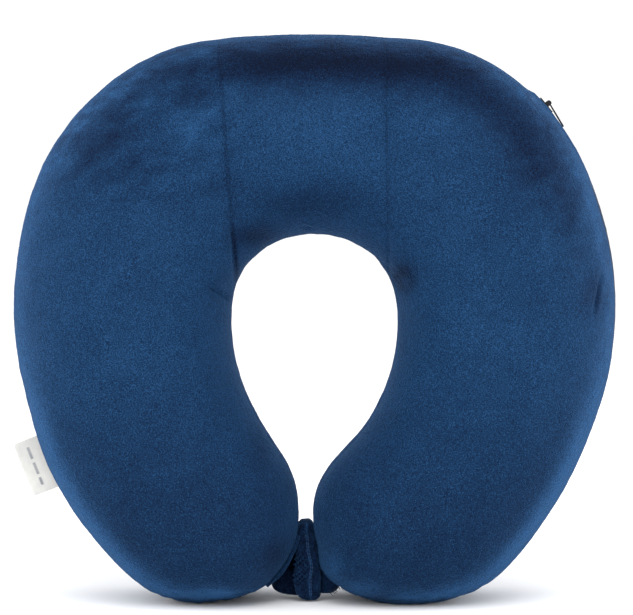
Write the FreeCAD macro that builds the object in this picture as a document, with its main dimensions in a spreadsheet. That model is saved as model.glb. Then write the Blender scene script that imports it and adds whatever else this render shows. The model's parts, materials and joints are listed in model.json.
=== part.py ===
"""U shaped memory foam neck pillow, standing on its two arm ends.

X runs across the pillow, Z is up and the front face looks towards -Y.  The origin lies on the
floor, midway between the arms.  All sizes are in millimetres and degrees.
"""
import FreeCAD
import Part
import Sketcher
import math
import os

Vector = FreeCAD.Vector
Y_AXIS = Vector(0, 1, 0)
START, END, CENTRE = 1, 2, 3
ORIGIN_POINT = (-1, 1)
VERTICAL_AXIS = -2
VALUE_COLUMN = "B"
FLAT_FACE_COSINE = 0.999

SIZES = {
    # outline of the pillow, seen from the front
    "pillow_top": 282.5,
    "pillow_depth": 104.0,
    "edge_round": 41.0,
    "floor_flat": 1.6,
    "crown_radius": 550.0,
    "shoulder_radius": 96.0,
    "side_radius": 159.5,
    "side_centre_x": 9.5,
    "side_centre_z": 146.8,
    "hip_radius": 227.0,
    "tip_outer_radius": 60.0,
    "tip_outer_x": 53.0,
    "tip_inner_radius": 44.5,
    "arm_gap_half": 3.5,
    "neck_side_radius": 101.0,
    "neck_radius": 41.8,
    "neck_centre_z": 142.8,
    # layers, from the plush cover inwards
    "surface_inset": 0.0,
    "cover_inset": 2.5,
    "liner_outer_inset": 2.6,
    "liner_inner_inset": 3.2,
    "foam_inset": 3.3,
    "panel_gap": 0.2,
    # cross seams that divide the nape panel from the arm panels
    "seam_low_z": 143.0,
    "seam_high_z": 300.0,
    "seam_left_low_x": 37.0,
    "seam_left_high_x": 48.3,
    "seam_right_low_x": 36.8,
    "seam_right_high_x": 34.5,
    # zip in the rim of the right arm, measured from the centre of the side arc
    "zip_rest_angle": 39.0,
    "zip_top_angle": 41.6,
    "zip_span": 64.3,
    "zip_recess_half_width": 6.0,
    "zip_recess_extra_angle": 0.1,
    "tape_outer_y": 5.9,
    "tape_inner_y": 0.6,
    "tape_drop_low": 1.1,
    "tape_drop_high": 0.6,
    "coil_outer_y": 1.6,
    "coil_inner_y": 0.45,
    "coil_half_height": 0.55,
    "coil_margin_angle": 0.7,
    "stop_angle": 0.5,
    "stop_margin_angle": 0.1,
    "stop_rise": 0.9,
    "slider_length": 9.0,
    "slider_width": 6.4,
    "slider_plate": 0.7,
    "slider_low_drop": 2.2,
    "slider_top_rise": 1.0,
    "slider_wall": 1.0,
    "slider_wall_drop": 0.2,
    "slider_blade_width": 0.4,
    "slider_blade_length": 3.0,
    "lug_inner_y": 1.5,
    "lug_thickness": 0.8,
    "lug_radius": 1.2,
    "pin_radius": 0.55,
    "pin_rise": 3.1,
    "puller_bore_radius": 0.6,
    "puller_eye_radius": 1.1,
    "puller_eye_width": 2.7,
    "puller_width": 4.6,
    "puller_length": 14.0,
    "puller_neck": 3.0,
    "puller_thickness": 0.8,
    "puller_lean": 8.0,
    # side label sewn in the left rim seam
    "label_length": 28.0,
    "label_reach": 10.0,
    "label_sewn_in": 2.0,
    "label_thickness": 0.8,
    "label_corner": 1.5,
    "label_x": -131.9,
    "label_z": 70.5,
    "label_tilt": 25.4,
    "label_slot_gap": 0.1,
    # folded closure tab that hangs from each arm tip
    "tab_width": 22.0,
    "tab_face_x": 1.9,
    "tab_layer": 1.6,
    "tab_low_radius": 4.4,
    "tab_low_z": 6.5,
    "tab_high_radius": 1.2,
    "tab_high_z": 31.0,
    "tab_hollow_radius": 0.6,
    "tab_hollow_high_z": 22.0,
    "tab_strap_thickness": 1.5,
    "tab_strap_length": 14.0,
    # press stud between the two tabs
    "stud_z": 14.0,
    "stud_base_radius": 4.0,
    "stud_base_face_x": 1.8,
    "stud_base_thickness": 1.0,
    "stud_head_radius": 2.0,
    "stud_head_length": 1.6,
    "socket_bore_radius": 2.5,
    "socket_thickness": 2.3,
    "socket_floor": 0.7,
    "cap_radius": 3.6,
    "cap_thickness": 0.95,
    "cap_face_x": 3.55,
    "post_radius": 0.9,
    "post_hole_radius": 0.95,
    "post_end_x": 1.5,
    "post_hole_end_x": 1.45,
    "tab_hole_radius": 1.0,
    # helper solids reach this far past the pillow
    "tool_margin": 20.0,
}

doc = FreeCAD.newDocument("neck_pillow")
sheet = doc.addObject("Spreadsheet::Sheet", "Sizes")
for row, (alias, value) in enumerate(SIZES.items(), start=1):
    sheet.set(f"A{row}", alias)
    sheet.set(f"{VALUE_COLUMN}{row}", str(value))
    sheet.setAlias(f"{VALUE_COLUMN}{row}", alias)
doc.recompute()


def size(alias):
    return float(sheet.get(alias))


def value_of(expression):
    return float(sheet.evalExpression(expression))


def bind(target, **expressions):
    """Drive properties of a document object from the sheet."""
    for name, expression in expressions.items():
        target.setExpression(name, expression)


def named(alias):
    return f"Sizes.{alias}"


def origin_plane(body, role):
    return next(item for item in body.Origin.OriginFeatures if item.Role == role)


def new_sketch(body, role):
    sketch = body.newObject("Sketcher::SketchObject", f"{body.Name}_{role}")
    sketch.AttachmentSupport = (origin_plane(body, role), [""])
    sketch.MapMode = "FlatFace"
    return sketch


def constrain(sketch, kind, *arguments, expression):
    """Add a size to a sketch and drive it from the sheet."""
    index = sketch.addConstraint(Sketcher.Constraint(kind, *arguments))
    sketch.setExpression(f"Constraints[{index}]", expression)


def place_point(sketch, element, point, position, x_expression, y_expression):
    constrain(sketch, "DistanceX", *ORIGIN_POINT, element, point, position.x, expression=x_expression)
    constrain(sketch, "DistanceY", *ORIGIN_POINT, element, point, position.y, expression=y_expression)


def boolean(kind, name, base, tool):
    result = doc.addObject(f"Part::{kind}", name)
    result.Base = base
    result.Tool = tool
    return result


def fuse(name, shapes):
    result = doc.addObject("Part::MultiFuse", name)
    result.Shapes = shapes
    return result


def box(name, low, length, width, height):
    """Box from its low corner; the three sizes are expressions."""
    result = doc.addObject("Part::Box", name)
    bind(result, Length=length, Width=width, Height=height)
    result.Placement.Base = low
    return result


def cylinder(name, start, direction, radius, height):
    """Cylinder from the middle of its first face; the sizes are expressions."""
    result = doc.addObject("Part::Cylinder", name)
    bind(result, Radius=radius, Height=height)
    result.Placement = FreeCAD.Placement(start, FreeCAD.Rotation(Vector(0, 0, 1), direction))
    return result


def touching_centre(centre_a, reach_a, centre_b, reach_b, side):
    """Point at reach_a from centre_a and reach_b from centre_b, on one side of the line between."""
    between = centre_b - centre_a
    along = (reach_a ** 2 - reach_b ** 2 + between.Length ** 2) / (2 * between.Length)
    across = math.sqrt(reach_a ** 2 - along ** 2)
    unit = Vector(between).normalize()
    return centre_a + unit * along + Vector(-unit.y, unit.x, 0) * across * side


def mirrored(point):
    return Vector(-point.x, point.y, 0)


def angle_at(centre, point):
    return math.atan2(point.y - centre.y, point.x - centre.x)


class Outline:
    """Closed sketch outline of arcs and lines, each tangent to the next."""

    def __init__(self, sketch):
        self.sketch = sketch
        self.ends = []
        self.radii = []

    def arc(self, centre, radius, first, last, radius_expression, outward=True):
        """Arc from first to last that bulges outward (convex) or inward (concave)."""
        span = (first, last) if outward else (last, first)
        circle = Part.Circle(centre, Vector(0, 0, 1), radius)
        start, stop = (angle_at(centre, point) for point in span)
        element = self.sketch.addGeometry(Part.ArcOfCircle(circle, start, stop), False)
        self.ends.append((element, START, END) if outward else (element, END, START))
        self.radii.append((element, radius, radius_expression))
        return element

    def line(self, first, last):
        element = self.sketch.addGeometry(Part.LineSegment(first, last), False)
        self.ends.append((element, START, END))

    def close(self):
        followers = self.ends[1:] + self.ends[:1]
        for (element, _, tail), (following, head, _) in zip(self.ends, followers):
            self.sketch.addConstraint(Sketcher.Constraint("Tangent", element, tail, following, head))
        for element, radius, expression in self.radii:
            constrain(self.sketch, "Radius", element, radius, expression=expression)


def pad_symmetric(body, sketch, length_expression):
    pad = body.newObject("PartDesign::Pad", f"{body.Name}_pad")
    pad.Profile = sketch
    pad.SideType = "Symmetric"
    bind(pad, Length=length_expression)
    doc.recompute()
    return pad


def beyond(from_centre, to_centre, distance):
    """Point past to_centre, on the line that comes from from_centre."""
    return to_centre + Vector(to_centre - from_centre).normalize() * distance


def pillow_form(name, inset_alias):
    """Whole pillow shape, moved inwards all over by one of the layer insets."""
    body = doc.addObject("PartDesign::Body", name)
    sketch = new_sketch(body, "XZ_Plane")
    inset = size(inset_alias)

    crown = Vector(0, size("pillow_top") - size("crown_radius"), 0)
    side = Vector(-size("side_centre_x"), size("side_centre_z"), 0)
    tip_outer = Vector(size("tip_outer_x"), size("tip_outer_radius") - size("floor_flat"), 0)
    tip_inner_x = size("arm_gap_half") + size("tip_inner_radius")
    tip_inner = Vector(tip_inner_x, size("tip_inner_radius") - size("floor_flat"), 0)
    neck = Vector(0, size("neck_centre_z"), 0)
    shoulder = touching_centre(
        crown, size("crown_radius") - size("shoulder_radius"),
        side, size("side_radius") - size("shoulder_radius"), -1)
    hip = touching_centre(
        side, size("hip_radius") - size("side_radius"),
        tip_outer, size("hip_radius") - size("tip_outer_radius"), -1)
    neck_side = touching_centre(
        neck, size("neck_side_radius") - size("neck_radius"),
        tip_inner, size("neck_side_radius") + size("tip_inner_radius"), -1)

    convex = {alias: size(alias) - inset for alias in (
        "crown_radius", "shoulder_radius", "side_radius", "hip_radius", "tip_outer_radius",
        "tip_inner_radius")}
    concave = {alias: size(alias) + inset for alias in ("neck_side_radius", "neck_radius")}
    sole = inset - size("floor_flat")
    crown_end = beyond(crown, shoulder, convex["shoulder_radius"])
    shoulder_end = beyond(side, shoulder, convex["shoulder_radius"])
    side_end = beyond(hip, side, convex["side_radius"])
    hip_end = beyond(hip, tip_outer, convex["tip_outer_radius"])
    sole_outer = Vector(tip_outer.x, sole, 0)
    sole_inner = Vector(tip_inner.x, sole, 0)
    tip_end = beyond(neck_side, tip_inner, -convex["tip_inner_radius"])
    neck_end = beyond(neck_side, neck, concave["neck_radius"])

    outline = Outline(sketch)

    def bulge(alias, centre, first, last):
        return outline.arc(centre, convex[alias], first, last, f"{named(alias)} - {named(inset_alias)}")

    def hollow(alias, centre, first, last):
        expression = f"{named(alias)} + {named(inset_alias)}"
        return outline.arc(centre, concave[alias], first, last, expression, outward=False)

    tip_outer_right = bulge("tip_outer_radius", tip_outer, sole_outer, hip_end)
    bulge("hip_radius", hip, hip_end, side_end)
    side_right = bulge("side_radius", side, side_end, shoulder_end)
    bulge("shoulder_radius", shoulder, shoulder_end, crown_end)
    crown_arc = bulge("crown_radius", crown, crown_end, mirrored(crown_end))
    bulge("shoulder_radius", mirrored(shoulder), mirrored(crown_end), mirrored(shoulder_end))
    side_left = bulge("side_radius", mirrored(side), mirrored(shoulder_end), mirrored(side_end))
    bulge("hip_radius", mirrored(hip), mirrored(side_end), mirrored(hip_end))
    tip_outer_left = bulge(
        "tip_outer_radius", mirrored(tip_outer), mirrored(hip_end), mirrored(sole_outer))
    outline.line(mirrored(sole_outer), mirrored(sole_inner))
    tip_inner_left = bulge(
        "tip_inner_radius", mirrored(tip_inner), mirrored(sole_inner), mirrored(tip_end))
    hollow("neck_side_radius", mirrored(neck_side), mirrored(tip_end), mirrored(neck_end))
    neck_arc = hollow("neck_radius", neck, mirrored(neck_end), neck_end)
    hollow("neck_side_radius", neck_side, neck_end, tip_end)
    tip_inner_right = bulge("tip_inner_radius", tip_inner, tip_end, sole_inner)
    outline.line(sole_inner, sole_outer)
    outline.close()

    crown_z = f"{named('pillow_top')} - {named('crown_radius')}"
    for arc, centre_z, expression in (
            (crown_arc, crown.y, crown_z), (neck_arc, neck.y, named("neck_centre_z"))):
        sketch.addConstraint(Sketcher.Constraint("PointOnObject", arc, CENTRE, VERTICAL_AXIS))
        constrain(sketch, "DistanceY", *ORIGIN_POINT, arc, CENTRE, centre_z, expression=expression)
    side_x = named("side_centre_x")
    side_z = named("side_centre_z")
    place_point(sketch, side_right, CENTRE, side, f"-{side_x}", side_z)
    place_point(sketch, side_left, CENTRE, mirrored(side), side_x, side_z)
    outer_x = named("tip_outer_x")
    outer_z = f"{named('tip_outer_radius')} - {named('floor_flat')}"
    place_point(sketch, tip_outer_right, CENTRE, tip_outer, outer_x, outer_z)
    place_point(sketch, tip_outer_left, CENTRE, mirrored(tip_outer), f"-{outer_x}", outer_z)
    inner_x = f"({named('arm_gap_half')} + {named('tip_inner_radius')})"
    inner_z = f"{named('tip_inner_radius')} - {named('floor_flat')}"
    place_point(sketch, tip_inner_right, CENTRE, tip_inner, inner_x, inner_z)
    place_point(sketch, tip_inner_left, CENTRE, mirrored(tip_inner), f"-{inner_x}", inner_z)

    pad = pad_symmetric(body, sketch, f"{named('pillow_depth')} - 2 * {named(inset_alias)}")
    flat_faces = [
        f"Face{number}" for number, face in enumerate(pad.Shape.Faces, start=1)
        if abs(face.normalAt(0, 0).dot(Y_AXIS)) > FLAT_FACE_COSINE]
    rounding = body.newObject("PartDesign::Fillet", f"{name}_rounding")
    rounding.Base = (pad, flat_faces)
    bind(rounding, Radius=f"{named('edge_round')} - {named(inset_alias)}")
    doc.recompute()
    return body


def nape_prism(name, gap_expression):
    """Block between the two cross seams, made wider on each side by a gap."""
    body = doc.addObject("PartDesign::Body", name)
    sketch = new_sketch(body, "XZ_Plane")
    corners = (
        ("seam_left_low_x", -1, "seam_low_z"),
        ("seam_right_low_x", 1, "seam_low_z"),
        ("seam_right_high_x", 1, "seam_high_z"),
        ("seam_left_high_x", -1, "seam_high_z"),
    )
    points = [Vector(sign * size(x_alias), size(z_alias), 0) for x_alias, sign, z_alias in corners]
    edges = [
        sketch.addGeometry(Part.LineSegment(first, last), False)
        for first, last in zip(points, points[1:] + points[:1])]
    for edge, following in zip(edges, edges[1:] + edges[:1]):
        sketch.addConstraint(Sketcher.Constraint("Coincident", edge, END, following, START))
    for edge, point, (x_alias, sign, z_alias) in zip(edges, points, corners):
        x_expression = f"{sign} * ({named(x_alias)} + {gap_expression})"
        place_point(sketch, edge, START, point, x_expression, named(z_alias))
    pad_symmetric(body, sketch, f"{named('pillow_depth')} + {named('tool_margin')}")
    return body


def ring_sector(name, radii, widths, start_angle, span_expression):
    """Bar with a rectangular section, bent round the side arc of the right arm.

    radii and widths are pairs of expressions: the distance from the arc's centre, and Y.
    The bar runs down from start_angle.
    """
    body = doc.addObject("PartDesign::Body", name)
    sketch = new_sketch(body, "XY_Plane")
    values = [[value_of(expression) for expression in pair] for pair in (radii, widths)]
    corners = [(0, 0), (1, 0), (1, 1), (0, 1)]
    points = [Vector(values[0][across], values[1][along], 0) for across, along in corners]
    edges = [
        sketch.addGeometry(Part.LineSegment(first, last), False)
        for first, last in zip(points, points[1:] + points[:1])]
    for edge, following in zip(edges, edges[1:] + edges[:1]):
        sketch.addConstraint(Sketcher.Constraint("Coincident", edge, END, following, START))
    for edge, point, (across, along) in zip(edges, points, corners):
        place_point(sketch, edge, START, point, radii[across], widths[along])
    turned = body.newObject("PartDesign::Revolution", f"{name}_turned")
    turned.Profile = sketch
    turned.ReferenceAxis = (sketch, ["V_Axis"])
    bind(turned, Angle=span_expression)
    body.Placement = on_side_arc(start_angle)
    doc.recompute()
    return body


def on_side_arc(angle):
    """Placement that carries a piece modelled at angle 0 to an angle on the right side arc."""
    centre = Vector(-size("side_centre_x"), 0, size("side_centre_z"))
    return FreeCAD.Placement(centre, FreeCAD.Rotation(Y_AXIS, -angle))


def polar(centre, radius, angle):
    return centre + Vector(math.cos(angle), math.sin(angle), 0) * radius


def add_teardrop(sketch, low, high):
    """Closed loop with a wide round end below and a narrow one above.

    low and high are (radius, x, z) expressions of the two round ends.
    """
    low_radius, high_radius = value_of(low[0]), value_of(high[0])
    low_centre = Vector(value_of(low[1]), value_of(low[2]), 0)
    high_centre = Vector(value_of(high[1]), value_of(high[2]), 0)
    spread = math.acos((low_radius - high_radius) / (high_centre - low_centre).Length)
    heading = angle_at(low_centre, high_centre)
    right, left = heading - spread, heading + spread
    low_ends = [polar(low_centre, low_radius, angle) for angle in (left, right)]
    high_ends = [polar(high_centre, high_radius, angle) for angle in (right, left)]
    outline = Outline(sketch)
    low_arc = outline.arc(low_centre, low_radius, *low_ends, low[0])
    outline.line(low_ends[1], high_ends[0])
    high_arc = outline.arc(high_centre, high_radius, *high_ends, high[0])
    outline.line(high_ends[1], low_ends[0])
    outline.close()
    place_point(sketch, low_arc, CENTRE, low_centre, low[1], low[2])
    place_point(sketch, high_arc, CENTRE, high_centre, high[1], high[2])


def panels(name, form, cutters):
    """Nape, left arm and right arm sections of a layer."""
    nape = boolean("Common", f"{name}_nape_section", form, cutters["nape"])
    arms = boolean("Cut", f"{name}_arm_sections", form, cutters["nape_clearance"])
    left = boolean("Common", f"{name}_left_section", arms, cutters["left"])
    right = boolean("Common", f"{name}_right_section", arms, cutters["right"])
    return {"nape": nape, "left": left, "right": right}


# layers of the pillow
cover_outside = pillow_form("cover_outside", "surface_inset")
cover_inside = pillow_form("cover_inside", "cover_inset")
liner_outside = pillow_form("liner_outside", "liner_outer_inset")
liner_inside = pillow_form("liner_inside", "liner_inner_inset")
foam_outside = pillow_form("foam_outside", "foam_inset")
cover_shell = boolean("Cut", "cover_shell", cover_outside, cover_inside)
liner_shell = boolean("Cut", "liner_shell", liner_outside, liner_inside)

# blocks that divide the layers into sections; they start at the floor, which flattens the tips
margin = size("tool_margin")
depth_half = size("pillow_depth") / 2 + margin
width_half = size("side_radius") + margin
gap_half = size("panel_gap") / 2
half_width = f"{named('side_radius')} + {named('tool_margin')}"
half_depth = f"{named('pillow_depth')} / 2 + {named('tool_margin')}"
full_width = f"2 * ({half_width})"
full_depth = f"2 * ({half_depth})"
full_height = f"{named('pillow_top')} + {named('tool_margin')}"
cutters = {
    "nape": nape_prism("nape_prism", "0"),
    "nape_clearance": nape_prism("nape_clearance", named("panel_gap")),
    "left": box("left_half", Vector(-width_half, -depth_half, 0), half_width, full_depth, full_height),
    "right": box("right_half", Vector(0, -depth_half, 0), half_width, full_depth, full_height),
}
front_half = box(
    "front_half", Vector(-width_half, -depth_half - gap_half, 0), full_width, half_depth, full_height)
back_half = box("back_half", Vector(-width_half, gap_half, 0), full_width, half_depth, full_height)

cover_sections = panels("cover", cover_shell, cutters)
liner_sections = panels("liner", liner_shell, cutters)
foam_sections = panels("foam", foam_outside, cutters)

# zip in the rim of the right arm
side_radius = named("side_radius")
zip_top = size("zip_top_angle")
recess = ring_sector(
    "zip_recess",
    (f"{side_radius} - {named('liner_outer_inset')}", f"{side_radius} + {named('tool_margin')}"),
    (f"-{named('zip_recess_half_width')}", named("zip_recess_half_width")),
    zip_top + size("zip_recess_extra_angle"),
    f"{named('zip_span')} + 2 * {named('zip_recess_extra_angle')}")
tape_radii = (
    f"{side_radius} - {named('tape_drop_low')}", f"{side_radius} - {named('tape_drop_high')}")
coil_radii = (
    f"{side_radius} - {named('coil_half_height')}", f"{side_radius} + {named('coil_half_height')}")
stop_radii = (
    f"{side_radius} - {named('coil_half_height')}", f"{side_radius} + {named('stop_rise')}")
front_tape_y = (f"-{named('tape_outer_y')}", f"-{named('tape_inner_y')}")
back_tape_y = (named("tape_inner_y"), named("tape_outer_y"))
front_coil_y = (f"-{named('coil_outer_y')}", f"-{named('coil_inner_y')}")
back_coil_y = (named("coil_inner_y"), named("coil_outer_y"))
both_coils_y = (f"-{named('coil_outer_y')}", named("coil_outer_y"))
coil_span = f"{named('zip_span')} - 2 * {named('coil_margin_angle')}"
coil_top = zip_top - size("coil_margin_angle")
stop_top = zip_top - size("stop_margin_angle")
stop_low = zip_top - size("zip_span") + size("stop_margin_angle") + size("stop_angle")
zip_tape_front = ring_sector("zip_tape_front", tape_radii, front_tape_y, zip_top, named("zip_span"))
zip_tape_back = ring_sector("zip_tape_back", tape_radii, back_tape_y, zip_top, named("zip_span"))
zip_coil_front = ring_sector("zip_coil_front", coil_radii, front_coil_y, coil_top, coil_span)
zip_coil_back = ring_sector("zip_coil_back", coil_radii, back_coil_y, coil_top, coil_span)
stop_bars = [
    ring_sector(f"stop_bar_{name}", stop_radii, widths, stop_top, named("stop_angle"))
    for name, widths in (("front", front_coil_y), ("back", back_coil_y))]
zip_top_stops = doc.addObject("Part::Compound", "zip_top_stops")
zip_top_stops.Links = stop_bars
zip_bottom_stop = ring_sector(
    "zip_bottom_stop", stop_radii, both_coils_y, stop_low, named("stop_angle"))

# zip slider, modelled on the X axis and then carried round the side arc
rim = size("side_radius")
slider_half = size("slider_length") / 2
slider_side = size("slider_width") / 2
plate_top = rim + size("slider_top_rise") + size("slider_plate")
wall_low = rim - size("slider_wall_drop")
low_plate_x = rim - size("slider_low_drop")
blade_half = size("slider_blade_width") / 2
pin_x = rim + size("pin_rise")
lug_outer_y = size("lug_inner_y") + size("lug_thickness")
slider_parts = [
    box("slider_top_plate", Vector(rim + size("slider_top_rise"), -slider_side, -slider_half),
        named("slider_plate"), named("slider_width"), named("slider_length")),
    box("slider_low_plate", Vector(low_plate_x, -slider_side, -slider_half),
        named("slider_plate"), named("slider_width"), named("slider_length")),
    box("slider_blade", Vector(low_plate_x, -blade_half, slider_half - size("slider_blade_length")),
        f"{named('slider_low_drop')} + {named('slider_top_rise')} + {named('slider_plate')}",
        named("slider_blade_width"), named("slider_blade_length")),
    cylinder("lug_pin", Vector(pin_x, -lug_outer_y, 0), Y_AXIS, named("pin_radius"),
             f"2 * ({named('lug_inner_y')} + {named('lug_thickness')})"),
]
wall_height = f"{named('slider_top_rise')} + {named('slider_wall_drop')}"
lug_height = f"{named('pin_rise')} - {named('slider_top_rise')} - {named('slider_plate')}"
for name, wall_y, lug_y in (
        ("front", -slider_side, -lug_outer_y),
        ("back", slider_side - size("slider_wall"), size("lug_inner_y"))):
    slider_parts += [
        box(f"slider_wall_{name}", Vector(wall_low, wall_y, -slider_half),
            wall_height, named("slider_wall"), named("slider_length")),
        box(f"lug_{name}", Vector(plate_top, lug_y, -size("lug_radius")),
            lug_height, named("lug_thickness"), f"2 * {named('lug_radius')}"),
        cylinder(f"lug_end_{name}", Vector(pin_x, lug_y, 0), Y_AXIS,
                 named("lug_radius"), named("lug_thickness")),
    ]
zip_slider = fuse("zip_slider_body", slider_parts)
zip_slider.Placement = on_side_arc(size("zip_rest_angle"))

# zip puller on the pin between the lugs, leaning in so that it lies along the rim
eye_half = size("puller_eye_width") / 2
puller_low_x = pin_x - size("puller_thickness") / 2
tip_centre_z = size("puller_width") / 2 - size("puller_length")
puller_solid = fuse("puller_solid", [
    cylinder("puller_eye", Vector(pin_x, -eye_half, 0), Y_AXIS,
             named("puller_eye_radius"), named("puller_eye_width")),
    box("puller_neck_bar", Vector(puller_low_x, -eye_half, -size("puller_neck")),
        named("puller_thickness"), named("puller_eye_width"), named("puller_neck")),
    box("puller_blade", Vector(puller_low_x, -size("puller_width") / 2, tip_centre_z),
        named("puller_thickness"), named("puller_width"),
        f"{named('puller_length')} - {named('puller_width')} / 2 - {named('puller_neck')}"),
    cylinder("puller_tip", Vector(puller_low_x, 0, tip_centre_z), Vector(1, 0, 0),
             f"{named('puller_width')} / 2", named("puller_thickness")),
])
puller_bore = cylinder("puller_bore", Vector(pin_x, -eye_half, 0), Y_AXIS,
                       named("puller_bore_radius"), named("puller_eye_width"))
zip_puller = boolean("Cut", "zip_puller_tab", puller_solid, puller_bore)
puller_turn = FreeCAD.Rotation(Y_AXIS, size("puller_lean"))
puller_lean = FreeCAD.Placement(Vector(), puller_turn, Vector(pin_x, 0, 0))
zip_puller.Placement = on_side_arc(size("zip_rest_angle")) * puller_lean

# side label, with the slot it is sewn into
label_placement = FreeCAD.Placement(
    Vector(size("label_x"), 0, size("label_z")),
    FreeCAD.Rotation(Y_AXIS, math.degrees(math.pi) - size("label_tilt")))


def label_block(name, gap_alias):
    """Block of the label's size, made larger on every side by a gap."""
    gap = size(gap_alias)
    low = Vector(
        -size("label_sewn_in") - gap, -size("label_thickness") / 2 - gap, -size("label_length") / 2 - gap)
    grown = f"2 * {named(gap_alias)}"
    block = box(name, low, f"{named('label_sewn_in')} + {named('label_reach')} + {grown}",
                f"{named('label_thickness')} + {grown}", f"{named('label_length')} + {grown}")
    block.Placement = label_placement.multiply(block.Placement)
    return block


label_slot = label_block("label_slot", "label_slot_gap")
label_plain = label_block("label_plain", "surface_inset")
doc.recompute()
label_tip = label_placement.multVec(Vector(size("label_reach"), 0, 0))
label_outward = label_placement.Rotation.multVec(Vector(1, 0, 0))
corner_edges = [
    (number, size("label_corner"), size("label_corner"))
    for number, edge in enumerate(label_plain.Shape.Edges, start=1)
    if abs(edge.tangentAt(0).dot(Y_AXIS)) > FLAT_FACE_COSINE
    and (edge.CenterOfMass - label_tip).dot(label_outward) > -size("label_corner")]
side_label = doc.addObject("Part::Fillet", "side_label")
side_label.Base = label_plain
side_label.Edges = corner_edges

# folded closure tabs
tab_body = doc.addObject("PartDesign::Body", "tab_loop")
tab_sketch = new_sketch(tab_body, "XZ_Plane")
face_x = named("tab_face_x")
hollow_x = f"{face_x} + {named('tab_layer')}"
low_x = f"{face_x} + {named('tab_low_radius')}"
add_teardrop(
    tab_sketch,
    (named("tab_low_radius"), low_x, named("tab_low_z")),
    (named("tab_high_radius"), f"{face_x} + {named('tab_high_radius')}", named("tab_high_z")))
add_teardrop(
    tab_sketch,
    (f"{named('tab_low_radius')} - {named('tab_layer')}", low_x, named("tab_low_z")),
    (named("tab_hollow_radius"), f"{hollow_x} + {named('tab_hollow_radius')}",
     named("tab_hollow_high_z")))
pad_symmetric(tab_body, tab_sketch, named("tab_width"))
tab_strap = box(
    "tab_strap", Vector(size("tab_face_x"), -size("tab_width") / 2, size("tab_high_z")),
    named("tab_strap_thickness"), named("tab_width"), named("tab_strap_length"))
stud_z = size("stud_z")
post_hole = cylinder(
    "tab_post_hole", Vector(size("stud_base_face_x"), 0, stud_z), Vector(1, 0, 0),
    named("tab_hole_radius"), f"{named('cap_face_x')} - {named('stud_base_face_x')}")
tab_solid = fuse("tab_solid", [tab_body, tab_strap])
closure_tab_right = boolean("Cut", "closure_tab_right", tab_solid, post_hole)
closure_tab_left = doc.addObject("Part::Mirroring", "closure_tab_left")
closure_tab_left.Source = closure_tab_right
closure_tab_left.Normal = (1, 0, 0)

# press stud: a stud on the left tab, a socket on the right one, a riveted cap behind each
post_hole_depth = f"{named('stud_base_face_x')} - {named('post_hole_end_x')}"
post_length = f"{named('cap_face_x')} - {named('post_end_x')}"


def stud_cap(name, sign):
    """Cap inside a tab's loop; sign is the side of the pillow."""
    start = Vector(sign * size("cap_face_x"), 0, stud_z)
    outward = Vector(sign, 0, 0)
    return fuse(name, [
        cylinder(f"{name}_disc", start, outward, named("cap_radius"), named("cap_thickness")),
        cylinder(f"{name}_post", start, -outward, named("post_radius"), post_length),
    ])


stud_back = Vector(-size("stud_base_face_x"), 0, stud_z)
stud_front = stud_back + Vector(size("stud_base_thickness"), 0, 0)
towards_right = Vector(1, 0, 0)
stud_solid = fuse("stud_solid", [
    cylinder("stud_base", stud_back, towards_right, named("stud_base_radius"),
             named("stud_base_thickness")),
    cylinder("stud_head", stud_front, towards_right, named("stud_head_radius"),
             named("stud_head_length")),
])
press_stud = boolean("Cut", "press_stud", stud_solid, cylinder(
    "stud_post_hole", stud_back, towards_right, named("post_hole_radius"), post_hole_depth))
socket_back = Vector(size("stud_base_face_x"), 0, stud_z)
socket_floor = socket_back - Vector(size("socket_floor"), 0, 0)
socket_holes = fuse("socket_holes", [
    cylinder("socket_bore", socket_floor, -towards_right, named("socket_bore_radius"),
             named("socket_thickness")),
    cylinder("socket_post_hole", socket_back, -towards_right, named("post_hole_radius"),
             post_hole_depth),
])
press_socket = boolean("Cut", "press_socket", cylinder(
    "socket_disc", socket_back, -towards_right, named("stud_base_radius"),
    named("socket_thickness")), socket_holes)

# sub-parts by node name
nodes = {}
for side, section in foam_sections.items():
    nodes[f"foam_core_{side}"] = section
for side, section in liner_sections.items():
    nodes[f"inner_liner_{side}"] = section
for face, half in (("front", front_half), ("back", back_half)):
    for side, section in cover_sections.items():
        panel = boolean("Common", f"cover_{face}_{side}_panel", section, half)
        if side == "right":
            panel = boolean("Cut", f"cover_{face}_{side}_with_zip", panel, recess)
        if side == "left":
            panel = boolean("Cut", f"cover_{face}_{side}_with_label", panel, label_slot)
        nodes[f"cover_{face}_{side}"] = panel
nodes |= {
    "zip_tape_front": zip_tape_front,
    "zip_tape_back": zip_tape_back,
    "zip_coil_front": zip_coil_front,
    "zip_coil_back": zip_coil_back,
    "zip_top_stops": zip_top_stops,
    "zip_bottom_stop": zip_bottom_stop,
    "zip_slider": zip_slider,
    "zip_puller": zip_puller,
    "side_label": side_label,
    "closure_tab_left": closure_tab_left,
    "closure_tab_right": closure_tab_right,
    "press_stud": press_stud,
    "press_stud_cap": stud_cap("stud_cap", -1),
    "press_socket": press_socket,
    "press_socket_cap": stud_cap("socket_cap", 1),
}
for node, item in nodes.items():
    item.Label = node
doc.recompute()

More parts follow.
